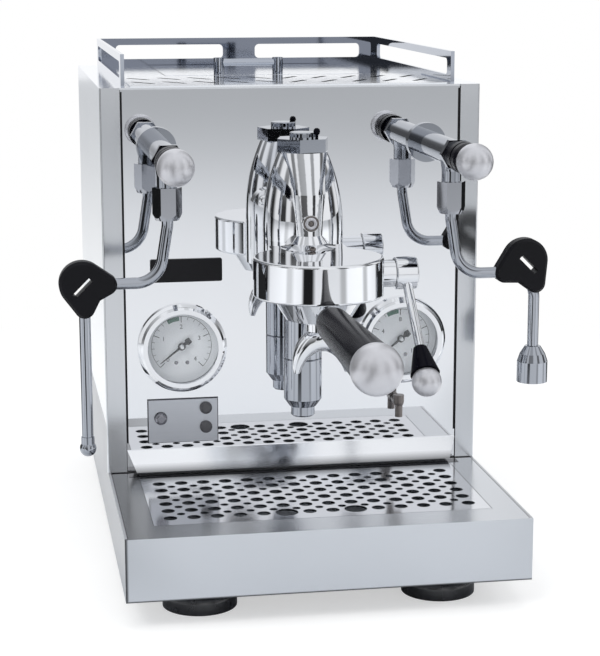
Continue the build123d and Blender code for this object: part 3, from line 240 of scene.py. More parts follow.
def metal(
    name, colour, rough, grain=None, relief=0.05, tone=0.04, smudge=14.0, bare=1.0, top=1.0, front=1.0,
    shade_fade=None, edge_shade=1.0,
):
    """Metal with handling marks and, where given, a brushed grain.

    Top, front and edge are factors of painted shade on the colour of upper faces, of faces turned to
    the front and of a thin band along the piece's left and lower edges. A fade is painted shade along
    an axis: the factor that the piece starts with along it, and the shares of the piece where it starts
    and ends. With a top, the fade is on the upper faces alone.
    """
    material, tree, shader = new_material(name)
    coordinates = tree.nodes.new("ShaderNodeTexCoord")
    shader.inputs["Metallic"].default_value = bare
    pattern = noise(tree, coordinates, smudge, detail=5.0, rough=0.62)
    if grain:
        lines = noise(tree, coordinates, scale=1.0, detail=4.0, stretch=grain, rough=0.65)
        pattern = mix_values(tree, pattern, lines, GRAIN_SHARE)
        add_bump(tree, shader, lines, relief, GRAIN_DEPTH)
    else:
        pits = noise(tree, coordinates, PIT_SCALE, detail=2.0)
        add_bump(tree, shader, pits, relief, PIT_DEPTH)
    tree.links.new(map_value(tree, pattern, *rough), shader.inputs["Roughness"])
    tint = map_colour(tree, pattern, shade(colour, 1 - tone), shade(colour, 1 + tone))
    tint = toned(tree, coordinates, colour, tint, top, front, shade_fade, edge_shade)
    tree.links.new(tint, shader.inputs["Base Color"])
    return material


def moulded(name, colour, rough, grain=900.0, relief=0.12, tone=0.25, coat=0.0, gloss=0.5):
    """Moulded plastic, rubber or enamel with a fine grain and uneven gloss."""
    material, tree, shader = new_material(name)
    coordinates = tree.nodes.new("ShaderNodeTexCoord")
    marks = noise(tree, coordinates, MARK_SCALE, detail=6.0, rough=0.65)
    fine = noise(tree, coordinates, grain)
    tree.links.new(map_value(tree, marks, *rough), shader.inputs["Roughness"])
    dark, light = shade(colour, 1 - tone), shade(colour, 1 + tone)
    tint = map_colour(tree, marks, dark, light, from_low=0.35, from_high=0.8)
    tree.links.new(tint, shader.inputs["Base Color"])
    add_bump(tree, shader, fine, relief, MOULD_DEPTH)
    shader.inputs["Coat Weight"].default_value = coat
    shader.inputs["Coat Roughness"].default_value = COAT_ROUGHNESS
    shader.inputs["Specular IOR Level"].default_value = gloss
    return material


def clear(name, colour, alpha, rough):
    """A clear sheet with faint streaks in its gloss."""
    material, tree, shader = new_material(name)
    coordinates = tree.nodes.new("ShaderNodeTexCoord")
    streaks = noise(tree, coordinates, STREAK_SCALE, detail=4.0, stretch=STREAK_STRETCH)
    tree.links.new(map_value(tree, streaks, rough, rough * STREAK_SPREAD), shader.inputs["Roughness"])
    shader.inputs["Base Color"].default_value = (*colour, 1)
    shader.inputs["Alpha"].default_value = alpha
    shader.inputs["IOR"].default_value = CLEAR_IOR
    return material


# Each look has its colour, its roughness and, apart from clear sheets and plain metal, its grain
MATERIALS = {
    "mirror": metal(
        "mirror_steel_look", (0.88, 0.89, 0.91), (0.012, 0.035), relief=0.012, tone=0.012, smudge=7.0,
    ),
    # Painted shade on the side panels' faces turned to the front
    "side": metal(
        "side_steel_look", (0.93, 0.95, 0.98), (0.12, 0.20), ALONG_Z, relief=0.06, tone=0.02, front=0.72,
    ),
    "rear": metal("rear_steel_look", (0.74, 0.76, 0.78), (0.24, 0.36), ALONG_X, relief=0.12),
    "tub": metal("tub_steel_look", (0.60, 0.61, 0.63), (0.25, 0.42), ALONG_X, relief=0.14, tone=0.05),
    # Painted shade on the tray: upper faces a little darker and darker still towards the left, and a dark
    # band along its left and lower edges
    "tray": metal(
        "tray_steel_look", (0.69, 0.71, 0.74), (0.17, 0.27), ALONG_X, relief=0.08, tone=0.02, top=0.95,
        shade_fade=("X", 0.25, 0.0, 0.35), edge_shade=0.15,
    ),
    # Painted shade, darker towards the bottom of the ledge
    "ledge": metal(
        "ledge_steel_look", (0.95, 0.96, 0.98), (0.10, 0.20), ALONG_X, relief=0.06, tone=0.02,
        shade_fade=("Z", 0.30, 0.0, 0.40),
    ),
    "plate": metal("plate_steel_look", (0.90, 0.92, 0.95), (0.07, 0.15), ALONG_X, relief=0.04, tone=0.03),
    "grid": metal("grid_steel_look", (0.72, 0.73, 0.76), (0.07, 0.15), ALONG_X, tone=0.03),
    # Both rail looks are darker copies of polished steel, painted dark reflections; the rear rail's is darker
    # still
    "rail": metal("shaded_rail_steel_look", (0.46, 0.49, 0.55), (0.03, 0.08), relief=0.03, tone=0.03),
    "shade": metal("darker_shaded_rail_look", (0.22, 0.24, 0.29), (0.03, 0.08), relief=0.03, tone=0.03),
    "control": metal("control_plate_look", (0.60, 0.62, 0.66), (0.26, 0.38), ALONG_X, relief=0.14, tone=0.05),
    "button": metal("button_look", (0.30, 0.30, 0.33), (0.20, 0.32), relief=0.06),
    "chrome": metal("chrome_look", (0.86, 0.87, 0.89), (0.02, 0.06), relief=0.02, tone=0.02, smudge=22.0),
    # A darker copy of the chrome: painted dark reflections on the valves, pipes and cap
    "wand": metal("shaded_chrome_look", (0.42, 0.44, 0.48), (0.03, 0.07), relief=0.02, tone=0.02, smudge=22.0),
    # A darker copy of the chrome: painted dark reflections on the union nuts
    "nut": metal("shaded_nut_chrome_look", (0.44, 0.45, 0.48), (0.05, 0.12), relief=0.03, tone=0.03, smudge=22.0),
    "satin": metal("satin_look", (0.64, 0.64, 0.67), (0.30, 0.40), tone=0.02, smudge=60.0, bare=0.72),
    "aged": metal("aged_metal_look", (0.22, 0.20, 0.19), (0.22, 0.42), relief=0.10, tone=0.15, smudge=60.0),
    "brass": metal(
        "boiler_brass_look", (0.72, 0.52, 0.35), (0.28, 0.46), ALONG_X, relief=0.15, tone=0.12, smudge=30.0,
    ),
    "copper": metal("copper_look", (0.74, 0.42, 0.29), (0.22, 0.42), relief=0.10, tone=0.14, smudge=40.0),
    # A dark look for the strips of painted shade
    "gloss": metal("painted_shade_strip_look", (0.07, 0.07, 0.08), (0.08, 0.16), ALONG_X, relief=0.04, tone=0.05),
    "black": moulded(
        "black_plastic_look", (0.003, 0.003, 0.006), (0.20, 0.28), 700.0, relief=0.01, gloss=0.05,
    ),
    "enamel": moulded(
        "black_enamel_look", (0.006, 0.006, 0.008), (0.24, 0.36), 1500.0, relief=0.02, gloss=0.2,
    ),
    "rubber": moulded("rubber_look", (0.004, 0.004, 0.006), (0.42, 0.56), 1400.0, tone=0.3, gloss=0.2),
    "foot": moulded(
        "foot_rubber_look", (0.012, 0.012, 0.015), (0.22, 0.34), 1400.0, relief=0.06, tone=0.3, gloss=1.0,
    ),
    "seal": moulded(
        "seal_rubber_look", (0.010, 0.010, 0.012), (0.5, 0.7), 1400.0, relief=0.2, tone=0.3, gloss=0.3,
    ),
    "dial": moulded("dial_look", (0.93, 0.96, 1.0), (0.35, 0.5), 1200.0, relief=0.01, tone=0.01),
    "ink": moulded(
        "dial_ink_look", (0.006, 0.008, 0.014), (0.4, 0.55), 1200.0, relief=0.02, tone=0.2, gloss=0.2,
    ),
    "green": moulded("dial_green_look", (0.02, 0.17, 0.11), (0.4, 0.55), 1200.0, relief=0.02, tone=0.2),
    "lamp": moulded("lamp_look", (0.085, 0.085, 0.095), (0.16, 0.26), relief=0.02, tone=0.3, coat=0.3),
    "inlet": moulded("inlet_look", (0.03, 0.03, 0.032), (0.38, 0.52), relief=0.15, tone=0.3),
    "glass": clear("gauge_glass_look", (0.96, 0.98, 1.0), alpha=0.08, rough=0.015),
    "tank": clear("tank_look", (0.72, 0.80, 0.86), alpha=0.42, rough=0.12),
}

LOOKS = {
    "mirror": ["front_panel"],
    "side": ["side_panel_left", "side_panel_right"],
    "rear": ["rear_panel"],
    "tub": ["base_tub"],
    "tray": ["drip_tray", "tray_pan"],
    "ledge": ["splash_ledge"],
    "plate": ["cup_plate", "tank_lid"],
    "grid": ["drip_grid"],
    "rail": ["cup_rail_sides", "lid_handle"],
    "shade": ["cup_rail_rear"],
    "control": ["control_plate"],
    "button": ["power_button"],
    "chrome": [
        "foot_stems", "gauge_cases", "group_flange", "group_body", "jet_plug", "shower_screen", "cam_gland",
        "lever_hub", "portafilter_bowl", "portafilter_spout",
    ],
    "wand": [
        "valve_left", "valve_right", "steam_pipe", "steam_tip", "water_pipe", "water_nozzle", "exhaust_valve",
        "group_cap",
    ],
    "nut": ["union_nuts"],
    "aged": ["drain_cock"],
    "satin": ["steam_knob_ball", "water_knob_ball", "lever_ball", "portafilter_ball", "filter_basket"],
    "brass": ["boiler", "pump"],
    "copper": ["boiler_pipes"],
    "black": ["steam_knob_base", "water_knob_base", "lever_cone", "portafilter_grip"],
    "enamel": ["badge_plate"],
    "rubber": ["steam_grip", "water_grip"],
    "foot": ["foot_pads"],
    "seal": ["group_gasket"],
    "dial": ["gauge_dials"],
    "ink": ["needle_left", "needle_right"],
    "lamp": ["pilot_lamps"],
    "inlet": ["power_inlet"],
    "glass": ["gauge_glasses"],
    "tank": ["water_tank"],
}


def dress_nodes():
    """Gives each node the material of its look."""
    for look, names in LOOKS.items():
        for name in names:
            mesh = nodes[name].data
            mesh.materials.clear()
            mesh.materials.append(MATERIALS[look])


# Small pieces of the scene

UP = (0, 0, 1)
FORWARD = (0, -1, 0)
BACKWARD = (0, 1, 0)

# Shares of a screw head's radius and height along its dome, and of its height below the socket
DOME_SHARES = [(0.96, 0), (1, 0.25), (0.9, 0.75), (0.62, 1)]
SOCKET_FLOOR_SHARE = 0.3


def finish_mesh(shape, name):
    """A mesh from an edited shape, with its faces turned outwards."""
    bmesh.ops.recalc_face_normals(shape, faces=shape.faces)
    mesh = bpy.data.meshes.new(name)
    shape.to_mesh(mesh)
    shape.free()
    return mesh


def add_piece(name, shape, look, body):
    """An edited shape as a named piece that rides on a body."""
    obj = bpy.data.objects.new(name, finish_mesh(shape, name))
    obj.data.materials.append(MATERIALS[look])
    bpy.context.scene.collection.objects.link(obj)
    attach(obj, body)
    return obj


def turned(shape, profile, place, steps=32, smooth=True):
    """Adds a profile of (radius, height) points turned about its axis and put in place."""
    rings = []
    for radius, height in profile:
        if radius == 0:
            rings.append([shape.verts.new(place @ Vector((0, 0, height)))])
            continue
        ring = []
        for step in range(steps):
            angle = 2 * math.pi * step / steps
            point = Vector((radius * math.cos(angle), radius * math.sin(angle), height))
            ring.append(shape.verts.new(place @ point))
        rings.append(ring)
    for first, second in zip(rings, rings[1:]):
        for step in range(steps):
            following = (step + 1) % steps
            corners = [first[step % len(first)], first[following % len(first)]]
            corners += [second[following % len(second)], second[step % len(second)]]
            corners = list(dict.fromkeys(corners))
            if len(corners) > 2:
                face = shape.faces.new(corners)
                face.smooth = smooth


def prism(shape, outline, place, thickness):
    """Adds a flat outline of (x, y) points with a thickness along the place's +Z."""
    lower = [shape.verts.new(place @ Vector((x, y, 0))) for x, y in outline]
    upper = [shape.verts.new(place @ Vector((x, y, thickness))) for x, y in outline]
    shape.faces.new(upper)
    shape.faces.new(list(reversed(lower)))
    count = len(outline)
    for index in range(count):
        following = (index + 1) % count
        shape.faces.new([lower[index], lower[following], upper[following], upper[index]])


def rectangle(left, low, right, high):
    """The corners of a rectangle."""
    return [(left, low), (right, low), (right, high), (left, high)]


def polar(radius, degrees):
    """A point at a radius and an angle."""
    angle = math.radians(degrees)
    return radius * math.cos(angle), radius * math.sin(angle)


def facing(x, y, z, direction):
    """A place in millimetres whose local +Z points along a direction."""
    turn = Vector(direction).to_track_quat("Z", "Y").to_matrix().to_4x4()
    return Matrix.Translation(Vector((x, y, z)) * MM) @ turn @ Matrix.Scale(MM, 4)


def facing_up(z):
    """A place in millimetres at a height, with the frame's own directions."""
    return Matrix.Translation((0, 0, z * MM)) @ Matrix.Scale(MM, 4)


def screw_head(shape, place, radius, height, socket):
    """A domed screw head with a hexagon socket."""
    dome = [(radius * across, height * up) for across, up in DOME_SHARES]
    turned(shape, dome + [(socket, height)], place)
    floor = height * SOCKET_FLOOR_SHARE
    turned(shape, [(socket, height), (socket, floor), (0, floor)], place, steps=6, smooth=False)


# Gauges

GAUGE_SPREAD = 89.0
GAUGE_Z = 169.5
DIAL_Y = -66.8
INK = 0.12

# Side of the machine, numbers, and short steps between two numbers
GAUGES = {"left": (-1, (0, 1, 2, 3, 4), 5), "right": (1, (0, 4, 8, 12, 16), 4)}

# The scale starts low on the left and runs clockwise, in degrees
SCALE_START = 225
SCALE_TURN = 270
SCALE_RADIUS = 23.8
SCALE_RING_RADIUS = 24.1
SCALE_RING_STEPS = 60

# Inner radius and half width of the ticks
LONG_TICK = (19.0, 0.28)
SHORT_TICK = (21.3, 0.14)

NUMBER_RADIUS = 15.4
NUMBER_SIZE = 5.0

BAND_INNER_RADIUS = 20.4
BAND_OUTER_RADIUS = 23.6
BAND_START = 94
BAND_END = 119
BAND_THICKNESS = INK * 1.5

DIAL_SCREW_SPREAD = 4.4
DIAL_SCREW_DROP = 13.5
DIAL_SCREW = [(0, 0), (1.5, 0), (1.5, 0.5), (1.1, 0.8), (0, 0.8)]

# Reach and half width along the needle's blade and tail, at its rest angle in degrees
NEEDLE_REST = 218
NEEDLE_BLADE = [(21.9, 0.25), (3.0, 0.9)]
NEEDLE_TAIL = [(-3.0, 1.25), (-4.0, 1.3), (-5.4, 2.7), (-8.8, 2.2)]
NEEDLE_FLAT_SHARE = 0.8
NEEDLE_BORE = 1.8
NEEDLE_HUB_RADIUS = 3.1
NEEDLE_HUB_TOP_RADIUS = 2.5
NEEDLE_HUB_BASE = 0.05


def gauge_place(side, y):
    """A gauge's middle at a depth, with +X to the right, +Y up and +Z out of its face."""
    turn = Matrix.Rotation(math.radians(90), 4, "X")
    middle = Vector((side * GAUGE_SPREAD, y, GAUGE_Z)) * MM
    return Matrix.Translation(middle) @ turn @ Matrix.Scale(MM, 4)


def scale_angle(share):
    """The angle at a share of the scale."""
    return SCALE_START - SCALE_TURN * share


def arc_band(shape, place, inner, outer, start, end, thickness, steps=14):
    """A flat band along an arc."""
    angles = [start + (end - start) * step / steps for step in range(steps + 1)]
    outline = [polar(outer, angle) for angle in angles]
    outline += [polar(inner, angle) for angle in reversed(angles)]
    prism(shape, outline, place, thickness)


def dial_scale(place, majors, minors):
    """Long and short ticks over three quarters of a turn, and the ring along their ends."""
    shape = bmesh.new()
    count = majors * minors
    for index in range(count + 1):
        inner, half = SHORT_TICK if index % minors else LONG_TICK
        aim = Matrix.Rotation(math.radians(scale_angle(index / count)), 4, "Z")
        prism(shape, rectangle(inner, -half, SCALE_RADIUS, half), place @ aim, INK)
    ends = (scale_angle(1), scale_angle(0))
    arc_band(shape, place, SCALE_RADIUS, SCALE_RING_RADIUS, *ends, INK, SCALE_RING_STEPS)
    return shape


def flat_text(words, size, thickness):
    """Words as a mesh about their middle, in millimetres."""
    text = bpy.data.curves.new("text", "FONT")
    text.body = words
    text.size = size
    text.align_x = "CENTER"
    text.align_y = "CENTER"
    text.extrude = thickness / 2
    holder = bpy.data.objects.new("text", text)
    bpy.context.scene.collection.objects.link(holder)
    bpy.context.view_layer.update()
    made = bpy.data.meshes.new_from_object(holder.evaluated_get(bpy.context.evaluated_depsgraph_get()))
    bpy.data.objects.remove(holder)
    bpy.data.curves.remove(text)
    return made


def dial_numbers(place, numbers):
    """Plain numbers at the long ticks."""
    shape = bmesh.new()
    for index, number in enumerate(numbers):
        x, y = polar(NUMBER_RADIUS, scale_angle(index / (len(numbers) - 1)))
        solid = flat_text(str(number), NUMBER_SIZE, INK)
        solid.transform(place @ Matrix.Translation((x, y, INK / 2)))
        shape.from_mesh(solid)
        bpy.data.meshes.remove(solid)
    return shape


def dial_screws(place):
    """The two small screws of a dial."""
    shape = bmesh.new()
    for x in (-DIAL_SCREW_SPREAD, DIAL_SCREW_SPREAD):
        turned(shape, DIAL_SCREW, place @ Matrix.Translation((x, -DIAL_SCREW_DROP, 0)), steps=24)
    return shape


def make_needle(label, side):
    """A thin needle with a broad tail in place of the plain one."""
    low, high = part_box("needle_" + label)
    thickness = (high.y - low.y) / MM
    flat = thickness * NEEDLE_FLAT_SHARE
    place = gauge_place(side, high.y / MM)
    aim = place @ Matrix.Rotation(math.radians(NEEDLE_REST), 4, "Z")
    shape = bmesh.new()
    for half in (NEEDLE_BLADE, NEEDLE_TAIL):
        prism(shape, half + [(x, -y) for x, y in reversed(half)], aim, flat)
    hub = [
        (NEEDLE_BORE, NEEDLE_HUB_BASE),
        (NEEDLE_HUB_RADIUS, NEEDLE_HUB_BASE),
        (NEEDLE_HUB_RADIUS, flat),
        (NEEDLE_HUB_TOP_RADIUS, thickness),
        (NEEDLE_BORE, thickness),
        (NEEDLE_BORE, NEEDLE_HUB_BASE),
    ]
    turned(shape, hub, place)
    piece = add_piece("gauge_pointer_" + label, shape, "ink", label + "_needle")
    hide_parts("needle_" + label)


def dress_gauges():
    """Scale, numbers, coloured band, screws and shaped needle of each gauge."""
    for label, (side, numbers, minors) in GAUGES.items():
        place = gauge_place(side, DIAL_Y)
        scale = dial_scale(place, len(numbers) - 1, minors)
        add_piece("dial_scale_" + label, scale, "ink", "machine")
        add_piece("dial_numbers_" + label, dial_numbers(place, numbers), "ink", "machine")
        band = bmesh.new()
        arc_band(band, place, BAND_INNER_RADIUS, BAND_OUTER_RADIUS, BAND_START, BAND_END, BAND_THICKNESS)
        add_piece("dial_band_" + label, band, "green", "machine")
        add_piece("dial_screws_" + label, dial_screws(place), "button", "machine")
        make_needle(label, side)


# Brew group

VENT_PIN_PLACE = (9.3, -126.5, 337.8)
VENT_PIN = [(1.2, 0), (1.2, 3.0), (2.2, 3.8), (2.6, 5.6), (2.1, 7.4), (0.9, 8.2), (0, 8.2)]

JET_Z = 277.5
JET_RIM = [(2.2, -0.2), (2.2, 0.5), (3.4, 0.9), (4.6, 0.5), (4.6, -0.2)]
JET_GROOVE = [(4.5, -0.1), (4.5, 0.25), (6.0, 0.25), (6.0, -0.1)]
JET_SOCKET = [(0, 0.1), (2.2, 0.1), (2.2, -0.2)]

# Radius, height and socket radius of the screws
BOSS_SCREW = (2.5, 1.1, 1.1)
BOSS_SCREW_PLACE = (0, -161.2, 259.4)
BOSS_SCREW_AIM = (0, -0.35, 0.94)
FLANGE_SCREW = (4.2, 3.2, 2.0)
FLANGE_FRONT_Y = -79.0
FLANGE_Z = 262
FLANGE_SCREW_SPREAD = 24


def add_vent_pin():
    """The small pin on the cap."""
    pin = bmesh.new()
    turned(pin, VENT_PIN, facing(*VENT_PIN_PLACE, UP), steps=28)
    add_piece("vent_pin", pin, "black", "machine")


def add_boss_screw():
    """The small screw in front of the group's tower."""
    screw = bmesh.new()
    screw_head(screw, facing(*BOSS_SCREW_PLACE, BOSS_SCREW_AIM), *BOSS_SCREW)
    add_piece("boss_screw", screw, "aged", "machine")


def add_jet_face():
    """The raised rim on the jet plug, with the groove around it and the socket in it."""
    place = facing(0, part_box("jet_plug")[0].y / MM, JET_Z, FORWARD)
    rim = bmesh.new()
    turned(rim, JET_RIM, place, steps=36)
    add_piece("jet_rim", rim, "satin", "machine")
    groove = bmesh.new()
    turned(groove, JET_GROOVE, place, steps=36)
    turned(groove, JET_SOCKET, place, steps=24)
    add_piece("jet_groove", groove, "aged", "machine")


def add_flange_screws():
    """Four screws that hold the group's flange."""
    screws = bmesh.new()
    for x in (-FLANGE_SCREW_SPREAD, FLANGE_SCREW_SPREAD):
        for rise in (-FLANGE_SCREW_SPREAD, FLANGE_SCREW_SPREAD):
            screw_head(screws, facing(x, FLANGE_FRONT_Y, FLANGE_Z + rise, FORWARD), *FLANGE_SCREW)
    add_piece("flange_screws", screws, "chrome", "machine")


# Casing

PANEL_FRONT_Y = -72.0
PANEL_HALF_WIDTH = 134

EDGE_LINE_SPREAD = 133.6
EDGE_LINE_MIDDLE_Z = 232
EDGE_LINE_HALF_WIDTH = 0.85
EDGE_LINE_HALF_HEIGHT = 139
EDGE_LINE_THICKNESS = 0.3

# The frame of painted shade around the control plate
SHADE_FRAME_WIDTH = 0.8
SHADE_FRAME_THICKNESS = 0.4

TRAY_TOP_Z = 69.0
# The strip of painted shade on the tray's back rim
RIM_SHADE_GAP = 0.3
RIM_SHADE_BACK_Y = -77.5
RIM_SHADE_THICKNESS = 0.2

# Radius, height and socket radius of the screws
BACK_SCREW = (3.4, 1.6, 1.6)
BACK_SCREW_SPREAD = 128
BACK_SCREW_Y = 245
BACK_SCREW_HEIGHTS = (122, 240, 358)


def add_panel_seals():
    """Thin dark strips along both sides of the front panel."""
    edge_lines = bmesh.new()
    outline = rectangle(-EDGE_LINE_HALF_WIDTH, -EDGE_LINE_HALF_HEIGHT, EDGE_LINE_HALF_WIDTH, EDGE_LINE_HALF_HEIGHT)
    for side in (-1, 1):
        place = facing(side * EDGE_LINE_SPREAD, PANEL_FRONT_Y, EDGE_LINE_MIDDLE_Z, FORWARD)
        prism(edge_lines, outline, place, EDGE_LINE_THICKNESS)
    add_piece("panel_edge_lines", edge_lines, "seal", "machine")


def add_control_gasket():
    """A thin dark frame around the control plate: painted shade along its edges."""
    low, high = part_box("control_plate")
    middle = (low + high) / 2 / MM
    across, up = (high.x - low.x) / 2 / MM, (high.z - low.z) / 2 / MM
    place = facing(middle.x, PANEL_FRONT_Y, middle.z, FORWARD)
    reach = across + SHADE_FRAME_WIDTH
    shade_frame = bmesh.new()
    for side in (-1, 1):
        inner, outer = sorted((side * up, side * (up + SHADE_FRAME_WIDTH)))
        prism(shade_frame, rectangle(-reach, inner, reach, outer), place, SHADE_FRAME_THICKNESS)
        inner, outer = sorted((side * across, side * reach))
        prism(shade_frame, rectangle(inner, -up, outer, up), place, SHADE_FRAME_THICKNESS)
    add_piece("control_shade_frame", shade_frame, "gloss", "machine")


def add_rim_strip():
    """A dark strip of painted shade on the tray's back rim, from the drip grid to under the splash ledge."""
    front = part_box("drip_grid")[1].y / MM + RIM_SHADE_GAP
    outline = rectangle(-PANEL_HALF_WIDTH, front, PANEL_HALF_WIDTH, RIM_SHADE_BACK_Y)
    strip = bmesh.new()
    prism(strip, outline, facing_up(TRAY_TOP_Z), RIM_SHADE_THICKNESS)
    add_piece("rim_shade_strip", strip, "gloss", "tray")


def add_back_screws():
    """Six screws that hold the back panel."""
    screws = bmesh.new()
    for x in (-BACK_SCREW_SPREAD, BACK_SCREW_SPREAD):
        for z in BACK_SCREW_HEIGHTS:
            screw_head(screws, facing(x, BACK_SCREW_Y, z, BACKWARD), *BACK_SCREW)
    add_piece("back_screws", screws, "chrome", "machine")


# Studio

# Height and focal length of the photograph in pixels
IMAGE_HEIGHT = 656
FOCAL = 1802.97
SENSOR = 36.0
CLIP_START = 0.05
CLIP_END = 50.0

# The camera looks down by its dip and to the right by its turn, in radians
CAMERA_PLACE = (-0.23295, -1.46395, 0.46799)
CAMERA_DIP = 0.200
CAMERA_ROLL = 0.001
CAMERA_TURN = 0.170

# Grey of the floor around the object by the angle from straight in front, towards the right
FLOOR_ROOM = [
    (-180, 1.0), (-164, 1.0), (-154, 0.02), (-104, 0.02), (-94, 0.85), (-62, 0.92), (-58, 0.60), (-52, 0.60),
    (-46, 0.85), (-35, 0.80), (-31, 0.012), (-18, 0.012), (-13, 0.72), (22, 0.74), (27, 0.45), (32, 0.45),
    (37, 0.92), (64, 0.92), (68, 0.50), (73, 0.50), (78, 0.92), (98, 0.88), (104, 0.02), (150, 0.02),
    (160, 1.0), (180, 1.0),
]

# Grey of the room's walls by the same angle
WALL_ROOM = [
    (-180, 1.0), (-160, 0.9), (-150, 0.03), (-106, 0.03), (-96, 0.80), (-80, 0.85), (-74, 0.04), (-62, 0.04),
    (-56, 0.80), (-48, 0.80), (-42, 0.09), (-10, 0.12), (-5, 0.85), (22, 0.90), (28, 0.04), (40, 0.04),
    (46, 0.90), (76, 0.92), (82, 0.04), (96, 0.04), (104, 0.80), (126, 0.80), (134, 0.04), (154, 0.05),
    (164, 1.0), (180, 1.0),
]
ROOM_TINT = (1, 1.01, 1.03)

# The walls turn into the ceiling over this rise, up to a share
CEILING = (0.92, 0.94, 0.97, 1)
CEILING_SHARE = 0.8
CEILING_RISE = (0.10, 1.0)

EVEN_LIGHT = (0.96, 0.98, 1, 1)
EVEN_STRENGTH = 0.62

FLOOR_HALF_SIZE = 6.0
FLOOR_NEAR = (0.70, 0.72, 0.75, 1)
FLOOR_PALE = (0.93, 0.93, 0.93, 1)
FLOOR_SHADOWED = (0.58, 0.58, 0.58, 1)
FLOOR_GLOW = 0.52

# Distances over which the mirrored floor takes on the room's greys, and the seen floor turns white
ROOM_REACH = (0.30, 0.85)
WHITE_REACH = (0.45, 0.90)

# Where the pale strip of floor behind the object ends at its sides and starts at its front
PALE_SIDE = (0.42, 0.50)
PALE_FRONT = (-0.20, -0.05)


def place_camera():
    """The camera at the photograph's viewing angle."""
    data = bpy.data.cameras.new("camera")
    data.lens = FOCAL / IMAGE_HEIGHT * SENSOR
    data.sensor_width = SENSOR
    data.clip_start = CLIP_START
    data.clip_end = CLIP_END
    obj = bpy.data.objects.new("camera", data)
    bpy.context.scene.collection.objects.link(obj)
    obj.location = CAMERA_PLACE
    obj.rotation_euler = (math.pi / 2 - CAMERA_DIP, CAMERA_ROLL, -CAMERA_TURN)
    bpy.context.scene.camera = obj


def room_grey(tree, direction, stops):
    """The room's grey around the object, from a direction or a place on the floor, and its height."""
    axes = split_axes(tree, direction)
    forward = calculate(tree, "MULTIPLY", axes["Y"], -1.0)
    angle = calculate(tree, "ARCTAN2", axes["X"], forward)
    share = map_value(tree, angle, 0.0, 1.0, -math.pi, math.pi)
    ramp = add_node(tree, "ShaderNodeValToRGB")
    elements = ramp.color_ramp.elements
    while len(elements) < len(stops):
        elements.new(0.5)
    for element, (degrees, grey) in zip(elements, stops):
        element.position = 0.5 + degrees / 360
        element.color = (*(grey * channel for channel in ROOM_TINT), 1)
    tree.links.new(share, ramp.inputs["Fac"])
    return ramp.outputs["Color"], axes["Z"]


def light_room():
    """White behind the object, a plain room in its reflections and even light on it."""
    world = bpy.data.worlds.new("studio")
    bpy.context.scene.world = world
    tree, output = clear_tree(world, "ShaderNodeOutputWorld")
    ray = tree.nodes.new("ShaderNodeLightPath").outputs
    coordinates = tree.nodes.new("ShaderNodeTexCoord")
    grey, height = room_grey(tree, coordinates.outputs["Generated"], WALL_ROOM)
    rise = map_value(tree, height, 0.0, CEILING_SHARE, *CEILING_RISE)
    room = mix_colours(tree, rise, grey, CEILING)
    shown = add_node(tree, "ShaderNodeBackground", {"Strength": 1.0})
    tree.links.new(mix_colours(tree, ray["Is Camera Ray"], room, WHITE), shown.inputs["Color"])
    even = add_node(tree, "ShaderNodeBackground", {"Color": EVEN_LIGHT, "Strength": EVEN_STRENGTH})
    visible = calculate(tree, "MAXIMUM", ray["Is Camera Ray"], ray["Is Glossy Ray"])
    visible = calculate(tree, "MAXIMUM", visible, ray["Is Transmission Ray"])
    mixed = mix_shaders(tree, visible, even.outputs[0], shown.outputs[0])
    tree.links.new(mixed, output.inputs["Surface"])


def pale_strip(tree, place):
    """One on the strip of floor straight behind the object."""
    axes = split_axes(tree, place)
    inside = map_value(tree, calculate(tree, "ABSOLUTE", axes["X"]), 1.0, 0.0, *PALE_SIDE)
    behind = map_value(tree, axes["Y"], 0.0, 1.0, *PALE_FRONT)
    return calculate(tree, "MULTIPLY", inside, behind)


def mirrored_floor(tree, place, distance):
    """The floor that the chrome mirrors: pale near the object and the room's greys further out."""
    behind = pale_strip(tree, place)
    grey = mix_colours(tree, behind, room_grey(tree, place, FLOOR_ROOM)[0], WHITE)
    near = mix_colours(tree, behind, FLOOR_NEAR, WHITE)
    far = map_value(tree, distance, 0.0, 1.0, *ROOM_REACH)
    shader = tree.nodes.new("ShaderNodeBsdfDiffuse")
    tree.links.new(mix_colours(tree, far, near, grey), shader.inputs["Color"])
    return shader.outputs[0]


def seen_floor(tree, distance):
    """The floor that the camera sees: shadowed near the object and white further out."""
    shadowed = add_node(tree, "ShaderNodeBsdfDiffuse", {"Color": FLOOR_SHADOWED})
    glow = add_node(tree, "ShaderNodeEmission", {"Color": WHITE, "Strength": FLOOR_GLOW})
    lifted = tree.nodes.new("ShaderNodeAddShader")
    tree.links.new(shadowed.outputs[0], lifted.inputs[0])
    tree.links.new(glow.outputs[0], lifted.inputs[1])
    white = add_node(tree, "ShaderNodeEmission", {"Color": WHITE, "Strength": 1.0})
    faded = map_value(tree, distance, 0.0, 1.0, *WHITE_REACH)
    return mix_shaders(tree, faded, lifted.outputs[0], white.outputs[0])


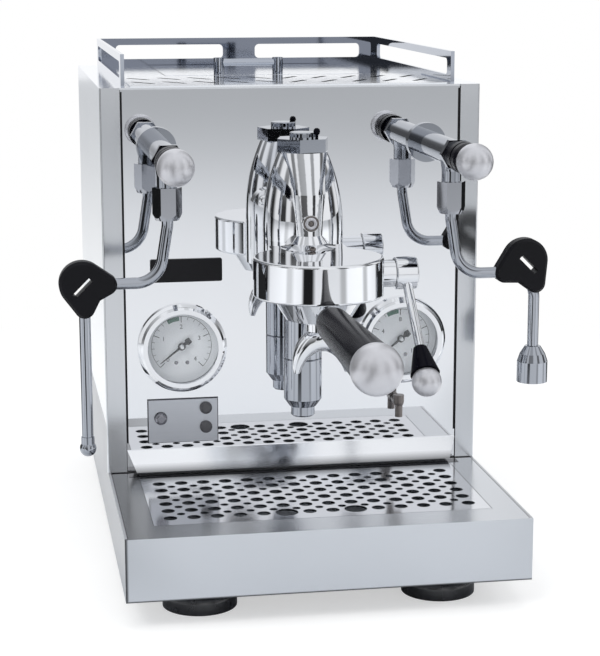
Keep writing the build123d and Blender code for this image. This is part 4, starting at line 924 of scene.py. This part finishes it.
def lay_floor():
    """A pale floor that keeps the object's shadow and fades into the room."""
    shape = bmesh.new()
    bmesh.ops.create_grid(shape, x_segments=1, y_segments=1, size=FLOOR_HALF_SIZE)
    floor = bpy.data.objects.new("floor", finish_mesh(shape, "floor"))
    bpy.context.scene.collection.objects.link(floor)
    material = bpy.data.materials.new("floor_look")
    tree, output = clear_tree(material, "ShaderNodeOutputMaterial")
    ray = tree.nodes.new("ShaderNodeLightPath").outputs
    place = tree.nodes.new("ShaderNodeTexCoord").outputs["Object"]
    length = add_node(tree, "ShaderNodeVectorMath", operation="LENGTH")
    tree.links.new(place, length.inputs[0])
    distance = length.outputs["Value"]
    pale = add_node(tree, "ShaderNodeBsdfDiffuse", {"Color": FLOOR_PALE})
    lit = mix_shaders(tree, ray["Is Camera Ray"], pale.outputs[0], seen_floor(tree, distance))
    mixed = mix_shaders(tree, ray["Is Glossy Ray"], lit, mirrored_floor(tree, place, distance))
    tree.links.new(mixed, output.inputs["Surface"])
    floor.data.materials.append(material)


def add_lamp(name, place, target, width, height, power):
    """A soft rectangular lamp aimed at a point, which the chrome doesn't mirror."""
    data = bpy.data.lights.new(name, "AREA")
    data.shape = "RECTANGLE"
    data.size = width
    data.size_y = height
    data.energy = power
    obj = bpy.data.objects.new(name, data)
    bpy.context.scene.collection.objects.link(obj)
    obj.location = place
    obj.rotation_euler = (Vector(target) - Vector(place)).to_track_quat("-Z", "Y").to_euler()
    obj.visible_glossy = False


dress_nodes()
dress_gauges()
add_vent_pin()
add_boss_screw()
add_jet_face()
add_flange_screws()
add_panel_seals()
add_control_gasket()
add_rim_strip()
add_back_screws()
place_camera()
light_room()
lay_floor()
add_lamp("key_lamp", place=(-1.5, -1.6, 2.3), target=(0, 0, 0.15), width=1.4, height=1.0, power=32)
add_lamp("fill_lamp", place=(1.9, -1.0, 1.6), target=(0, 0, 0.2), width=0.9, height=1.4, power=15)
add_lamp("top_lamp", place=(0.0, 0.3, 2.6), target=(0, 0, 0), width=1.8, height=1.8, power=18)
bpy.context.scene.view_settings.view_transform = "Standard"
